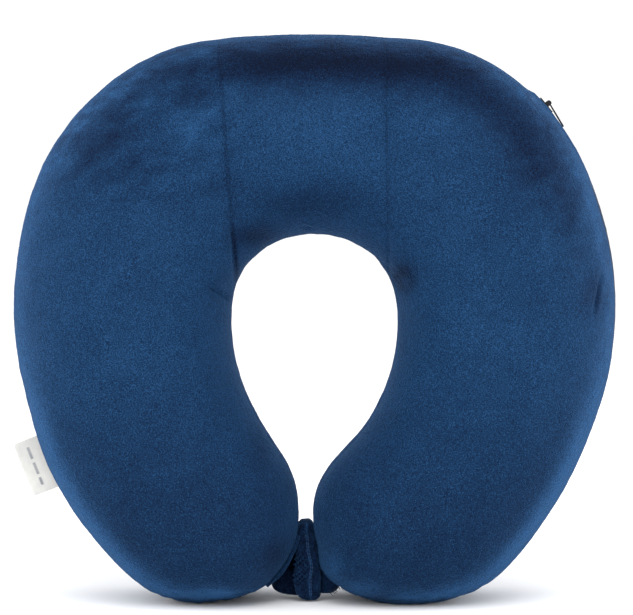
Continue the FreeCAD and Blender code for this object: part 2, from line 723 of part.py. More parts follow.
# checks, then one STEP file per sub-part
for item in doc.Objects:
    if {"Invalid", "Error"} & set(item.State):
        raise RuntimeError(f"{item.Name} did not build: {item.State}")
for node, item in nodes.items():
    if item.Shape.isNull() or not item.Shape.isValid() or item.Shape.Volume <= 0:
        raise RuntimeError(f"{node} has no valid solid")
os.makedirs("parts", exist_ok=True)
for node, item in nodes.items():
    item.Shape.exportStep(f"parts/{node}.step")
    bounds = item.Shape.BoundBox
    print(f"{node}: {len(item.Shape.Solids)} solid, {item.Shape.Volume:.1f} mm3, "
          f"X {bounds.XMin:.1f} to {bounds.XMax:.1f}, Y {bounds.YMin:.1f} to {bounds.YMax:.1f}, "
          f"Z {bounds.ZMin:.1f} to {bounds.ZMax:.1f}")
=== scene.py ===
"""Looks of the U shaped neck pillow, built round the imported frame.

The skin of the whole pillow is one closed mesh.  It is inflated as cloth, shaped with the seams,
folds and dents of a real cover, and then cut along its seams into the six cover panels.
Shape functions work in millimetres; everything handed to Blender is in metres.
In the named values, a "fade" is a pair of places: none of the effect at the first, all at the second.
"""
import json
import math

import bmesh
import bpy
import numpy as np
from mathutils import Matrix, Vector, noise


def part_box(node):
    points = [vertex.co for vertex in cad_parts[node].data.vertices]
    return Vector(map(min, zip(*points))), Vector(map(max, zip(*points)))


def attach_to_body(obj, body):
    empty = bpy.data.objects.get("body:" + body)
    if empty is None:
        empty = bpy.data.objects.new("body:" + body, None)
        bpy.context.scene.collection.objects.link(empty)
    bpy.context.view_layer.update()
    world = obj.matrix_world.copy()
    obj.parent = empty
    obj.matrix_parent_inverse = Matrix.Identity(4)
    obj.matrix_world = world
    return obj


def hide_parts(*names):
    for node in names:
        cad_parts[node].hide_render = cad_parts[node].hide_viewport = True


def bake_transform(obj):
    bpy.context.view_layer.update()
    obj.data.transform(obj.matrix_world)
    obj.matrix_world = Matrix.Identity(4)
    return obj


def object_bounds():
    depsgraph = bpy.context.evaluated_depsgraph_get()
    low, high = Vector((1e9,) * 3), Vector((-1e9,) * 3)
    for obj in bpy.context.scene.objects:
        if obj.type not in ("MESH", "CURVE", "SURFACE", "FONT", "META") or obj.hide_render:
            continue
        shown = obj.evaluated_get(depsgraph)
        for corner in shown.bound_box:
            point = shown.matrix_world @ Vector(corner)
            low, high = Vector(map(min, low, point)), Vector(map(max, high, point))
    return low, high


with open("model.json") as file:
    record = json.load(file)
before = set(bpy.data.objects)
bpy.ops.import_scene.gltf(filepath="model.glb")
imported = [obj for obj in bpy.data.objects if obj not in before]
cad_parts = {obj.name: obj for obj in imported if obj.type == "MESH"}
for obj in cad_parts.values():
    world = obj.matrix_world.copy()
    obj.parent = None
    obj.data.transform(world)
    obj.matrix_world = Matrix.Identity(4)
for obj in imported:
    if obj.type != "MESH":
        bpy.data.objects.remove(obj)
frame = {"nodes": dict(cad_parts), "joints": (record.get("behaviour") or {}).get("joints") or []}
nodes = frame["nodes"]
joints = {joint["name"]: joint for joint in frame["joints"]}
cad_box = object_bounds()
scene = bpy.context.scene

MM = 0.001
SIDES = ("left", "nape", "right")
BODY = {"left": "left_side", "right": "right_arm"}

# cross seams between the nape and arm panels: X at two heights
SEAM_LOW_Z, SEAM_HIGH_Z = 143.0, 300.0
SEAM_X = {"left": (-37.0, -48.3), "right": (36.8, 34.5)}
SEAM_START_Z = 145.0
# X midway between the arm tips, where they come nearest
ARM_GAP_X = -4.2

# side arc of the right arm, which the zip follows: X and Z of its centre, angles in degrees
ZIP_CENTRE = np.array(joints["zip_slide"]["pos_m"])[[0, 2]] / MM
ZIP_RADIUS = 159.5
ZIP_TOP, ZIP_BOTTOM = 41.6, -22.7
ZIP_OPENING = 3.9
ZIP_END_FADE = 2.0
ZIP_REACH, ZIP_SIDE_X = 25.0, 80.0

# layers
FOAM_INSET = 3.3
LINER_OUTSET = 0.7
HEM_DEPTH = 2.2
VOXEL = 4.2
SKIN_SUBDIVISIONS = 2

# the outer rim is further than this from the hub above the arm tips, and from the middle beside them
HUB = np.array([0.0, 143.0])
HUB_RADIUS = 85.0
ARM_TIP_Z, ARM_TIP_X = 100.0, 45.0
RIM_HALF_DEPTH = 3.0
# distance in front of the middle over which the front face begins
FRONT_FADE = (4, 24)
# how far each seed of the noise moves it along X, Y and Z
SEED_STEPS = (13.1, 7.7, 3.3)


# ---------------------------------------------------------------- mesh helpers
def new_object(name, data):
    item = bpy.data.objects.new(name, data)
    scene.collection.objects.link(item)
    return item


def mesh_from(name, points, faces):
    """Mesh from points in millimetres."""
    mesh = bpy.data.meshes.new(name)
    mesh.from_pydata((np.asarray(points, float) * MM).tolist(), [], faces)
    mesh.update()
    return mesh


def read_vectors(items, attribute):
    values = np.empty(len(items) * 3)
    items.foreach_get(attribute, values)
    return values.reshape(-1, 3)


def coordinates(mesh):
    """Vertex positions in millimetres."""
    return read_vectors(mesh.vertices, "co") / MM


def set_coordinates(mesh, points):
    mesh.vertices.foreach_set("co", (points * MM).ravel())
    mesh.update()


def set_attribute(mesh, name, values):
    """Store one number per vertex for a material to read."""
    mesh.attributes.new(name, "FLOAT", "POINT").data.foreach_set("value", values)


def raise_surface(mesh, rise):
    """Move each vertex along its normal."""
    normals = read_vectors(mesh.vertex_normals, "vector")
    set_coordinates(mesh, coordinates(mesh) + normals * np.reshape(rise, (-1, 1)))


def evaluated_mesh(item):
    """Mesh of an object with its modifiers applied."""
    graph = bpy.context.evaluated_depsgraph_get()
    return bpy.data.meshes.new_from_object(item.evaluated_get(graph))


def modify(item, kind, **settings):
    """Apply one modifier to an object."""
    modifier = item.modifiers.new(kind, kind)
    for setting, value in settings.items():
        setattr(modifier, setting, value)
    mesh = evaluated_mesh(item)
    item.modifiers.clear()
    item.data = mesh


def edit_mesh(mesh, change):
    """Change a mesh through a function that takes the mesh opened for editing."""
    edit = bmesh.new()
    edit.from_mesh(mesh)
    change(edit)
    edit.to_mesh(mesh)
    edit.free()


def open_edges(edit):
    return [edge for edge in edit.edges if edge.is_boundary]


def shade_smooth(mesh):
    mesh.polygons.foreach_set("use_smooth", [True] * len(mesh.polygons))


def mesh_edges(mesh):
    values = np.empty(len(mesh.edges) * 2, int)
    mesh.edges.foreach_get("vertices", values)
    return values.reshape(-1, 2)


def relax(points, edges, rounds):
    """Average each point with its neighbours, a number of times."""
    counts = np.bincount(edges.ravel(), minlength=len(points))[:, None]
    for _ in range(rounds):
        total = np.zeros_like(points)
        np.add.at(total, edges[:, 0], points[edges[:, 1]])
        np.add.at(total, edges[:, 1], points[edges[:, 0]])
        points = (points + total / counts) / 2
    return points


def ring_faces(rows, corners):
    """Faces of a closed tube made of rows of corners, with both ends capped."""
    faces = []
    for row in range(rows - 1):
        for corner in range(corners):
            following = (corner + 1) % corners
            low, high = row * corners, (row + 1) * corners
            faces.append((low + corner, low + following, high + following, high + corner))
    faces.append(tuple(range(corners))[::-1])
    faces.append(tuple(range((rows - 1) * corners, rows * corners)))
    return faces


# ---------------------------------------------------------------- shape helpers
def smooth_step(low, high, values):
    share = np.clip((values - low) / (high - low), 0, 1)
    return share * share * (3 - 2 * share)


def bump(values, width):
    return np.exp(-(values / width) ** 2)


def mound(values, middle, width, height):
    """Rounded rise, or a hollow where the height is below 0."""
    return height * bump(values - middle, width)


def spot(x, z, middle_x, middle_z, wide, high, amount):
    """Rounded patch seen from the front: its middle, half width, half height and amount."""
    return amount * bump(x - middle_x, wide) * bump(z - middle_z, high)


def noise_field(points, scale, seed):
    """Smooth noise from -1 to 1 at each point; scale is the size of its lumps in millimetres."""
    shift = Vector([seed * step for step in SEED_STEPS])
    return np.array([noise.noise(Vector(point) / scale + shift) for point in points])


def layered_noise(points, layers):
    """Sum of noise fields, each given as size, height and seed."""
    return sum(height * noise_field(points, size, seed) for size, height, seed in layers)


def region(x, z, left, right, low):
    """Part of the front that fades in from the left, from the right and from below."""
    return smooth_step(*left, x) * smooth_step(*right, x) * smooth_step(*low, z)


def seam_x(side, z):
    low, high = SEAM_X[side]
    return low + (high - low) * (z - SEAM_LOW_Z) / (SEAM_HIGH_Z - SEAM_LOW_Z)


def seam_offset(points, side):
    """Distance across a cross seam; far from it where there is no seam."""
    x, _, z = points.T
    return np.where(z > SEAM_START_Z, x - seam_x(side, z), np.inf)


def along_line(x, z, start, end):
    """Distance from a line between two points, and how far along it, from 0 to 1."""
    start, end = np.array(start), np.array(end)
    length = np.linalg.norm(end - start)
    direction = (end - start) / length
    share = ((x - start[0]) * direction[0] + (z - start[1]) * direction[1]) / length
    aside = -(x - start[0]) * direction[1] + (z - start[1]) * direction[0]
    return aside, share


def zip_angles(points):
    """Angle of each point round the centre of the side arc, in degrees."""
    return np.degrees(np.arctan2(points[:, 2] - ZIP_CENTRE[1], points[:, 0] - ZIP_CENTRE[0]))


def zip_share(points):
    """1 beside the zip and 0 beyond its ends, for points near the side of the right arm."""
    angle = zip_angles(points)
    bottom_end = smooth_step(ZIP_BOTTOM - ZIP_END_FADE, ZIP_BOTTOM, angle)
    top_end = smooth_step(ZIP_TOP + ZIP_END_FADE, ZIP_TOP, angle)
    reach = np.hypot(points[:, 0] - ZIP_CENTRE[0], points[:, 2] - ZIP_CENTRE[1])
    return bottom_end * top_end * (reach > ZIP_RADIUS - ZIP_REACH)


def outer_rim(points):
    """Points of the sewn edge round the outside of the pillow."""
    x, y, z = points.T
    reach = np.hypot(x - HUB[0], z - HUB[1])
    outside = np.where(z > ARM_TIP_Z, reach > HUB_RADIUS, abs(x) > ARM_TIP_X)
    return points[(abs(y) < RIM_HALF_DEPTH) & outside]


def rim_distance(points, rim):
    """Distance in from the outer rim, seen from the front."""
    nearest = np.full(len(points), np.inf)
    for rim_x, _, rim_z in rim:
        nearest = np.minimum(nearest, np.hypot(points[:, 0] - rim_x, points[:, 2] - rim_z))
    return nearest


def facing_front(points):
    return smooth_step(*FRONT_FADE, -points[:, 1])


# ---------------------------------------------------------------- skin of the pillow
NAPE_STRETCH = 1.04
REMESH_ROUNDS = 6
SEAM_HOLD_WIDTH = 5.0
PIN_FROM = 0.2
CLOTH_SETTINGS = {
    "quality": 5,
    "mass": 0.003,
    "use_pressure": True,
    "uniform_pressure_force": 40.0,
    "tension_stiffness": 1,
    "compression_stiffness": 1,
    "shear_stiffness": 0.5,
    "bending_stiffness": 0.1,
    "pin_stiffness": 1,
}
CLOTH_FRAMES = 20
SWELL_LIMIT = 4.5


def rough_skin():
    """Closed mesh of the whole foam core, the nape section stretched a little into both arms."""
    joined = bmesh.new()
    for side in SIDES:
        mesh = nodes[f"foam_core_{side}"].data.copy()
        if side == "nape":
            points = coordinates(mesh)
            middle = points.mean(0)
            points[:, 0] = middle[0] + (points[:, 0] - middle[0]) * NAPE_STRETCH
            set_coordinates(mesh, points)
        joined.from_mesh(mesh)
    mesh = bpy.data.meshes.new("skin")
    joined.to_mesh(mesh)
    joined.free()
    skin = new_object("skin", mesh)
    modify(skin, "REMESH", mode="VOXEL", voxel_size=VOXEL * MM)
    set_coordinates(skin.data, relax(coordinates(skin.data), mesh_edges(skin.data), REMESH_ROUNDS))
    return skin


def near_seams(points):
    """How near each point is to a sewn line: 1 on it, 0 a few millimetres away."""
    held = bump(points[:, 1], SEAM_HOLD_WIDTH)
    for side in SEAM_X:
        held = held + bump(seam_offset(points, side), SEAM_HOLD_WIDTH)
    return np.clip(held, 0, 1)


def inflate(skin):
    """Swell the skin as cloth held at its seams; no point moves further than the limit."""
    rest = coordinates(skin.data)
    pins = skin.vertex_groups.new(name="pins")
    held = near_seams(rest)
    for index in np.flatnonzero(held > PIN_FROM):
        pins.add([int(index)], float(held[index]), "REPLACE")
    cloth = skin.modifiers.new("cloth", "CLOTH")
    for setting, value in CLOTH_SETTINGS.items():
        setattr(cloth.settings, setting, value)
    cloth.settings.effector_weights.gravity = 0
    cloth.settings.vertex_group_mass = pins.name
    cloth.collision_settings.use_collision = False
    cloth.point_cache.frame_start = 1
    cloth.point_cache.frame_end = CLOTH_FRAMES
    for number in range(1, CLOTH_FRAMES + 1):
        scene.frame_set(number)
    moved = coordinates(evaluated_mesh(skin))
    scene.frame_set(1)
    skin.modifiers.clear()
    skin.vertex_groups.clear()
    shift = moved - rest
    length = np.linalg.norm(shift, axis=1, keepdims=True)
    shift *= np.minimum(1, SWELL_LIMIT / np.maximum(length, 1e-6))
    set_coordinates(skin.data, rest + shift)


# the crown of the front face fades in from the left, from the right and from below
CROWN_FADES = (-95, -35), (128, 80), (165, 205)
# bands along the crown: distance in from the rim, half width, rise
CROWN_BANDS = (6, 7, 1.4), (19, 12, -3.0)
# swellings and dents of the front face: X and Z of the middle, half width, half height, rise
DENTS = (0, 232, 45, 26, 1.2), (43.5, 164, 5, 7, -1.8), (-29, 186, 9, 6, -1.6)
# lumps of the stuffing: size, height, seed
LUMPS = (38, 0.9, 1), (15, 0.45, 2)
LUMP_FADE = (3, 20)
# how far each cross seam pulls the stuffing in, and where in depth and height
SEAM_PULL = {"left": 1.0, "right": 0.5}
SEAM_PULL_WIDTH, PULL_DEPTH_FADE, PULL_HEIGHT_FADE = 6, (3, 16), (290, 180)


def settled_rise(points, rim):
    """Broad ridges, hollows and lumps of the stuffed pillow."""
    x, y, z = points.T
    inward = rim_distance(points, rim)
    rise = region(x, z, *CROWN_FADES) * sum(mound(inward, *band) for band in CROWN_BANDS)
    rise += sum(spot(x, z, *dent) for dent in DENTS)
    rise *= facing_front(points)
    rise += layered_noise(points, LUMPS) * smooth_step(*LUMP_FADE, abs(y))
    where = smooth_step(*PULL_DEPTH_FADE, abs(y)) * smooth_step(*PULL_HEIGHT_FADE, z)
    for side, depth in SEAM_PULL.items():
        rise -= where * mound(seam_offset(points, side), 0, SEAM_PULL_WIDTH, depth)
    return rise


# how far the arm tips lean to the left, and the lower corner of the right one
LEFT_TIP_LEAN, RIGHT_TIP_LEAN, RIGHT_CORNER_LEAN = 4.0, 4.6, 6.0
TIP_FADE, CORNER_FADE = (95, 45), (30, 14)
LEFT_TIP_FADE, RIGHT_TIP_FADE = (-48, -12), (62, 14)
# where the left side bulges out: X fade, Z of the middle, half height, bulge
LEFT_BULGES = (((-90, -125), 222, 30, 2.2), ((-60, -105), 56, 32, 3.2))
# where the underside is lifted off the floor: X of the middle, half width, lift
UNDERSIDE_FADE = (16, 4)
UNDERSIDE_LIFTS = ((-40, 16, 2.4), (67, 14, 1.2))


def leaned(points):
    """The soft arm tips pushed sideways: both lean left, and the right one is squarer below."""
    x, _, z = points.T
    left = LEFT_TIP_LEAN * smooth_step(*LEFT_TIP_FADE, x) * (x < 0)
    right = RIGHT_TIP_LEAN + RIGHT_CORNER_LEAN * smooth_step(*CORNER_FADE, z)
    right = right * smooth_step(*RIGHT_TIP_FADE, x) * (x > 0)
    moved = points.copy()
    moved[:, 0] -= smooth_step(*TIP_FADE, z) * (left + right)
    for fade, *bulge in LEFT_BULGES:
        moved[:, 0] -= smooth_step(*fade, x) * mound(z, *bulge)
    moved[:, 2] += smooth_step(*UNDERSIDE_FADE, z) * sum(mound(x, *lift) for lift in UNDERSIDE_LIFTS)
    return moved


# creases on the front face: X and Z of both ends, depth, width
CREASES = (
    ((-53.0, 161.5), (-42.0, 152.5), 1.5, 0.9),
    ((141.8, 168.0), (137.0, 145.0), 0.7, 0.9),
    ((-6.0, 190.0), (0.0, 187.5), 0.9, 1.0),
)
# a crease fades in past its start and out before its end, and has a soft fold along one side
CREASE_START_FADE, CREASE_END_FADE = (-0.1, 0.25), (1.1, 0.75)
CREASE_FOLD_ASIDE, CREASE_FOLD_WIDTH, CREASE_FOLD_HEIGHT = 2.2, 1.6, 0.5

# bands across a seam: middle, half width, rise
CROSS_GROOVE, NECK_GROOVE = (0, 1.1, -0.8), (0, 1.3, -0.8)
RIM_GROOVE = (0, 1.4, -1.3), (0, 5, -0.5)
# puckers beside the cross seams, which fade out towards the rim and the crown
PUCKER_WIDTH, PUCKER_DEPTH, PUCKER_RIPPLE = 6, 0.25, 0.3
RIPPLE_SHAPE, RIPPLE_SIZE, RIPPLE_SEED = (1, 1, 2.2), 4.2, 3
CROSS_LEAST, CROSS_DEPTH_FADE, CROSS_CROWN_FADE, NECK_FADE = 0.1, (2, 16), (292, 240), (198, 184)
# gathers along the rim, and the lips of cloth on both sides of the zip, higher near the slider
GATHER_SHAPE, GATHER_SIZE, GATHER_SEED, GATHER_WIDTH = (1, 0.35, 1), 7, 4, 9
GATHER_HEIGHT, ZIP_GATHER_HEIGHT = 0.55, 0.15
LIP_OUT, LIP_WIDTH, SLIDER_FADE = 5.5, 3, (18, 30)
BACK_LIP, BACK_LIP_AT_SLIDER = 0.9, 0.5
FRONT_LIP, FRONT_LIP_AT_SLIDER = -0.4, 1.7
# uneven cloth under the arms, and its grain everywhere: size, height, seed
RAGGED, RAGGED_FADE = ((5, 0.7, 9),), (16, 5)
CLOTH_GRAIN = ((1.7, 0.12, 5),)


def cross_seam_rise(points):
    """Grooves and puckers of the two cross seams; the left one is deeper at the neck opening."""
    y, z = points[:, 1], points[:, 2]
    pucker = PUCKER_RIPPLE * noise_field(points * RIPPLE_SHAPE, RIPPLE_SIZE, RIPPLE_SEED) - PUCKER_DEPTH
    rise = np.zeros(len(points))
    for side in SEAM_X:
        aside = seam_offset(points, side)
        rise += mound(aside, *CROSS_GROOVE) + pucker * bump(aside, PUCKER_WIDTH)
    rise *= CROSS_LEAST + (1 - CROSS_LEAST) * smooth_step(*CROSS_DEPTH_FADE, abs(y))
    rise *= smooth_step(*CROSS_CROWN_FADE, z)
    neck = mound(seam_offset(points, "left"), *NECK_GROOVE) * smooth_step(*NECK_FADE, z)
    return rise + neck * facing_front(points)


def rim_seam_rise(points):
    """Groove and gathers of the seam round the rim, with a lip of cloth on each side of the zip."""
    y = points[:, 1]
    gathers = noise_field(points * GATHER_SHAPE, GATHER_SIZE, GATHER_SEED) * bump(y, GATHER_WIDTH)
    edge = GATHER_HEIGHT * gathers + sum(mound(y, *band) for band in RIM_GROOVE)
    near_slider = smooth_step(*SLIDER_FADE, zip_angles(points))
    lips = mound(y, LIP_OUT, LIP_WIDTH, BACK_LIP + BACK_LIP_AT_SLIDER * near_slider)
    lips += mound(y, -LIP_OUT, LIP_WIDTH, FRONT_LIP + FRONT_LIP_AT_SLIDER * near_slider)
    lips += ZIP_GATHER_HEIGHT * gathers
    share = zip_share(points)
    return edge * (1 - share) + lips * share


def crease_rise(points):
    """Small creases of the front face."""
    x, _, z = points.T
    rise = np.zeros(len(points))
    for start, end, depth, width in CREASES:
        aside, share = along_line(x, z, start, end)
        taper = smooth_step(*CREASE_START_FADE, share) * smooth_step(*CREASE_END_FADE, share)
        fold = mound(aside, CREASE_FOLD_ASIDE * width, CREASE_FOLD_WIDTH * width, CREASE_FOLD_HEIGHT)
        rise += taper * depth * (fold - bump(aside, width))
    return rise * facing_front(points)


def sewn_rise(points):
    """Seam grooves, gathers, puckers and small folds."""
    rise = cross_seam_rise(points) + rim_seam_rise(points) + crease_rise(points)
    rise += layered_noise(points, RAGGED) * smooth_step(*RAGGED_FADE, points[:, 2])
    return rise + layered_noise(points, CLOTH_GRAIN)


skin = rough_skin()
inflate(skin)
set_coordinates(skin.data, relax(coordinates(skin.data), mesh_edges(skin.data), 1))
set_coordinates(skin.data, leaned(coordinates(skin.data)))
rim = outer_rim(coordinates(skin.data))
raise_surface(skin.data, settled_rise(coordinates(skin.data), rim))
core = skin.data.copy()
raise_surface(skin.data, FOAM_INSET)
rim = outer_rim(coordinates(skin.data))
modify(skin, "SUBSURF", levels=SKIN_SUBDIVISIONS)
raise_surface(skin.data, sewn_rise(coordinates(skin.data)))
points = coordinates(skin.data)
points[:, 2] = np.maximum(points[:, 2], 0)
set_coordinates(skin.data, points)
shade_smooth(skin.data)


# ---------------------------------------------------------------- materials
# colours are sRGB, 0 to 255
PILE_SHADE, PILE_DARK, PILE, PILE_LIGHT = (3, 10, 28), (9, 25, 51), (18, 46, 77), (43, 86, 131)
PILE_SHEEN = (96, 160, 232)
FOAM_DARK, FOAM_LIGHT = (196, 178, 120), (233, 221, 176)
LINER_DARK, LINER_LIGHT = (188, 190, 192), (235, 236, 238)
COIL_DARK, COIL_LIGHT = (16, 22, 34), (36, 46, 64)
TAPE_DARK, TAPE_LIGHT = (7, 14, 32), (20, 38, 72)
BLACK_METAL_DARK, BLACK_METAL_LIGHT = (5, 6, 9), (18, 20, 26)
STUD_DARK, STUD_LIGHT = (120, 122, 126), (190, 192, 196)
FRAY_DARK, FRAY_LIGHT = (8, 18, 38), (22, 44, 78)
THREAD_DARK, THREAD_LIGHT = (20, 46, 84), (44, 80, 128)
SATIN_PRINT, SATIN_DARK, SATIN_LIGHT = (84, 90, 104), (176, 176, 174), (214, 212, 206)
PAPER_DARK, PAPER_LIGHT = (238, 239, 241), (242, 243, 245)


def linear(colour):
    """Linear light value of an sRGB colour given as 0 to 255."""
    shares = [level / 255 for level in colour]
    return tuple(s / 12.92 if s <= 0.04045 else ((s + 0.055) / 1.055) ** 2.4 for s in shares) + (1.0,)


class Material:
    """One node material; its helpers add a node and return the output that matters."""

    def __init__(self, name, **constants):
        self.data = bpy.data.materials.new(name)
        self.data.use_nodes = True
        self.tree = self.data.node_tree
        self.shader = self.tree.nodes["Principled BSDF"]
        for socket, value in constants.items():
            self.shader.inputs[socket.replace("_", " ")].default_value = value
        place = self.add("ShaderNodeTexCoord", {}, "Object")
        self.place = self.add("ShaderNodeVectorMath", {0: place, 1: (1 / MM,) * 3}, 0, operation="MULTIPLY")

    def feed(self, socket, value):
        """Link a socket to another node's output, or set it to a constant."""
        if hasattr(value, "is_linked"):
            self.tree.links.new(value, socket)
        else:
            socket.default_value = value

    def add(self, kind, inputs, output, **settings):
        """Add a node with its inputs fed, and return one of its outputs."""
        node = self.tree.nodes.new(kind)
        for setting, value in settings.items():
            setattr(node, setting, value)
        for socket, value in inputs.items():
            self.feed(node.inputs[socket], value)
        return node.outputs[output]

    def noise(self, size, detail=2.0, roughness=0.5):
        """Noise from 0 to 1 with lumps of a size in millimetres."""
        inputs = {"Vector": self.place, "Scale": 1 / size, "Detail": detail, "Roughness": roughness}
        return self.add("ShaderNodeTexNoise", inputs, "Fac")

    def wave(self, spacing, direction, distortion):
        """Stripes across an axis, at a spacing in millimetres; at scale 1 they repeat every pi / 10."""
        inputs = {"Vector": self.place, "Scale": math.pi / 10 / spacing, "Distortion": distortion}
        return self.add("ShaderNodeTexWave", inputs, "Fac", bands_direction=direction)

    def attribute(self, name):
        return self.add("ShaderNodeAttribute", {}, "Fac", attribute_name=name)

    def math(self, operation, first, second):
        return self.add("ShaderNodeMath", {0: first, 1: second}, 0, operation=operation)

    def weighted(self, start, *terms):
        """start + the sum of weight x (value - 0.5)."""
        total = start
        for value, weight in terms:
            centred = self.math("SUBTRACT", value, 0.5)
            total = self.math("ADD", total, self.math("MULTIPLY", centred, weight))
        return total

    def ramp(self, value, *stops):
        """Colour from a value through (place, colour) stops."""
        node = self.tree.nodes.new("ShaderNodeValToRGB")
        self.feed(node.inputs["Fac"], value)
        elements = node.color_ramp.elements
        elements[0].position, elements[0].color = stops[0][0], linear(stops[0][1])
        elements[1].position, elements[1].color = stops[-1][0], linear(stops[-1][1])
        for place, colour in stops[1:-1]:
            elements.new(place).color = linear(colour)
        return node.outputs["Color"]

    def colour(self, value):
        self.feed(self.shader.inputs["Base Color"], value)

    def rough(self, value):
        self.feed(self.shader.inputs["Roughness"], value)

    def bumps(self, height, distance):
        """Bump from a height field; distance is in millimetres."""
        inputs = {"Strength": 1.0, "Distance": distance * MM, "Height": height}
        self.feed(self.shader.inputs["Normal"], self.add("ShaderNodeBump", inputs, "Normal"))


def velour_material():
    """Short blue pile: fine grain, brushed patches with painted light and shade read from the mesh, and a
    sheen where it is seen edge on.
    """
    cloth = Material(
        "velour", Roughness=0.9, Specular_IOR_Level=0.06,
        Sheen_Weight=0.3, Sheen_Roughness=0.25, Sheen_Tint=linear(PILE_SHEEN),
    )
    grain = cloth.noise(0.52, 2.0, 0.6)
    clumps = cloth.noise(1.9, 2.0, 0.55)
    brushed = cloth.noise(24, 3.0, 0.6)
    nap_and_shade = cloth.attribute("nap_and_shade")
    tone = cloth.weighted(0.5, (grain, 1.5), (clumps, 0.14), (brushed, 0.1), (nap_and_shade, 1.0))
    cloth.colour(cloth.ramp(tone, (0.0, PILE_SHADE), (0.22, PILE_DARK), (0.5, PILE), (1.0, PILE_LIGHT)))
    cloth.rough(cloth.weighted(0.85, (grain, 0.25)))
    cloth.bumps(cloth.weighted(0.5, (grain, 1.0), (clumps, 0.9)), 0.55)
    return cloth.data


def mottled_material(name, noise, dark, light, relief, roughness, wear=0.0, **constants):
    """Fine mottling between two stops of colour; wear makes the light specks rougher."""
    surface = Material(name, Roughness=roughness, **constants)
    specks = surface.noise(*noise)
    surface.colour(surface.ramp(specks, dark, light))
    if wear:
        surface.rough(surface.weighted(roughness, (specks, wear)))
    surface.bumps(specks, relief)
    return surface.data


def knit_material(name, dark, light, size):
    """Fine knit or woven cloth: two crossed sets of threads."""
    knit = Material(name, Roughness=0.85, Specular_IOR_Level=0.2, Sheen_Weight=0.15)
    across = knit.wave(size, "X", 0.6)
    along = knit.wave(size, "Z", 0.6)
    threads = knit.math("MULTIPLY", across, along)
    tone = knit.weighted(0.5, (threads, 0.6), (knit.noise(6, 2), 0.4))
    knit.colour(knit.ramp(tone, (0.1, dark), (0.9, light)))
    knit.bumps(threads, 0.15)
    return knit.data


def metal_material(name, dark, light, roughness, metallic, specular):
    """Painted or plated small metal, with wear that shows as lighter specks."""
    return mottled_material(
        name, (0.8, 4, 0.7), (0.35, dark), (0.75, light), 0.02, roughness,
        wear=0.3, Metallic=metallic, Specular_IOR_Level=specular,
    )


# ---------------------------------------------------------------- cover panels
# how the pile of the front face is brushed, with painted light and shade; amounts below 0 look darker, above
# 0 lighter patches of painted shade in the dents, the creases, above the hole, along the inner edges and
# between the arm tips; of painted light on the bulge above the hole, in the middle of the dimple and on the
# lower arm tips; and of darker brushed pile on the shoulders: X and Z of the middle, half width, half
# height, amount
NAP_AND_SHADE_PATCHES = (
    (-28, 185, 11, 6, -0.30),
    (43.5, 164, 5, 6.5, -0.6),
    (44.5, 163, 2.2, 2.8, 0.42),
    (0, 203, 34, 9, -0.14),
    (2, 240, 30, 17, 0.05),
    (-75, 258, 26, 7, -0.10),
    (-98, 236, 30, 26, -0.15),
    (104, 226, 18, 30, -0.14),
    (126, 196, 8, 24, -0.08),
    (146, 186, 2.2, 12, -0.3),
    (136.5, 157, 6, 12, -0.18),
    (139.8, 157, 1.5, 9, -0.14),
    (-26, 80, 5, 10, -0.08),
    (-11, 60, 3, 8, -0.12),
    (-18, 26, 8, 8, -0.22),
    (9, 19, 5, 9, 0.22),
    (22, 9, 10, 5, 0.25),
    (-45, 7, 16, 4, 0.2),
)
# strokes of the brushed pile: how far they are drawn out, and how steeply they climb
BRUSH_STRETCH, BRUSH_LEAN = 0.5, 0.5
# size, amount, seed of the strokes; shape, size, seed of the streaks that run in from the rim
BRUSH_STROKES = (11, 1.0, 6), (5, 0.6, 7)
STREAK_SHAPE, STREAK_SIZE, STREAK_SEED = (0.3, 1, 1.4), 4, 8
STROKES_ALL_OVER, STROKES_ON_SHOULDERS = 0.03, 0.15
LEFT_SHOULDER_FADES = (190, 235), (-20, -60)
RIGHT_SHOULDER_FADE, RIGHT_SHOULDER = (90, 115), (225, 45, 0.8)

# painted shade under the crown, partly darker brushed pile: distance in from the rim, half width, waver,
# darkness from right to left
BAND_FADES = (-70, -15), (142, 118), (170, 215)
BAND_IN, BAND_WIDTH, BAND_WAVER = 13, 12, 1.5
BAND_SHADE_AND_NAP, BAND_EXTRA_SHADE_AND_NAP, BAND_EXTRA_SHADE_FADE = 0.12, 0.18, (112, 78)
# painted highlight along the rim: distance in, half width, then its even part and its streaks
EDGE_IN, EDGE_WIDTH, EDGE_FADE, EDGE_CROWN_FADE = 3, 5, (60, 130), (215, 250)
EDGE_HIGHLIGHT, EDGE_STREAKS, EDGE_CROWN_STREAKS = 0.07, 0.1, 0.12
# painted highlight along the lower rim: distance in, half width, amount
LOW_EDGE_HIGHLIGHT, LOW_EDGE_FADE = (5, 6, 0.34), (150, 50)
# painted shade at the crown, a painted shadow where the underside meets the floor, and painted shade
# darkening down the arms
TOP_PAINTED_SHADE, TOP_FADE = 0.2, (258, 274)
FLOOR_PAINTED_SHADOW, FLOOR_FADE, FLOOR_WAVER = 0.4, (4.5, 2), 1.5
ARM_PAINTED_SHADE, ARM_FADE = 0.12, (130, 40)
# painted shade along the grooves of the cross seams: a dark line, and a soft shade on its right
SEAM_PAINTED_SHADE = {"left": 0.08, "right": 0.04}
SEAM_LINE_WIDTH, SEAM_SHADE_SHARE, SEAM_SHADE_ASIDE, SEAM_SHADE_WIDTH = 0.8, 0.3, 1.5, 4
# painted shade in the crease where the left seam meets the neck opening: middle, half width, amount
NECK_SEAM_SHADE, NECK_SEAM_FADE = (0.4, 1.0, 0.3), (192, 184)
# share of the brushing, painted light and shade that carries on over the back
BACK_SHARE = 0.25


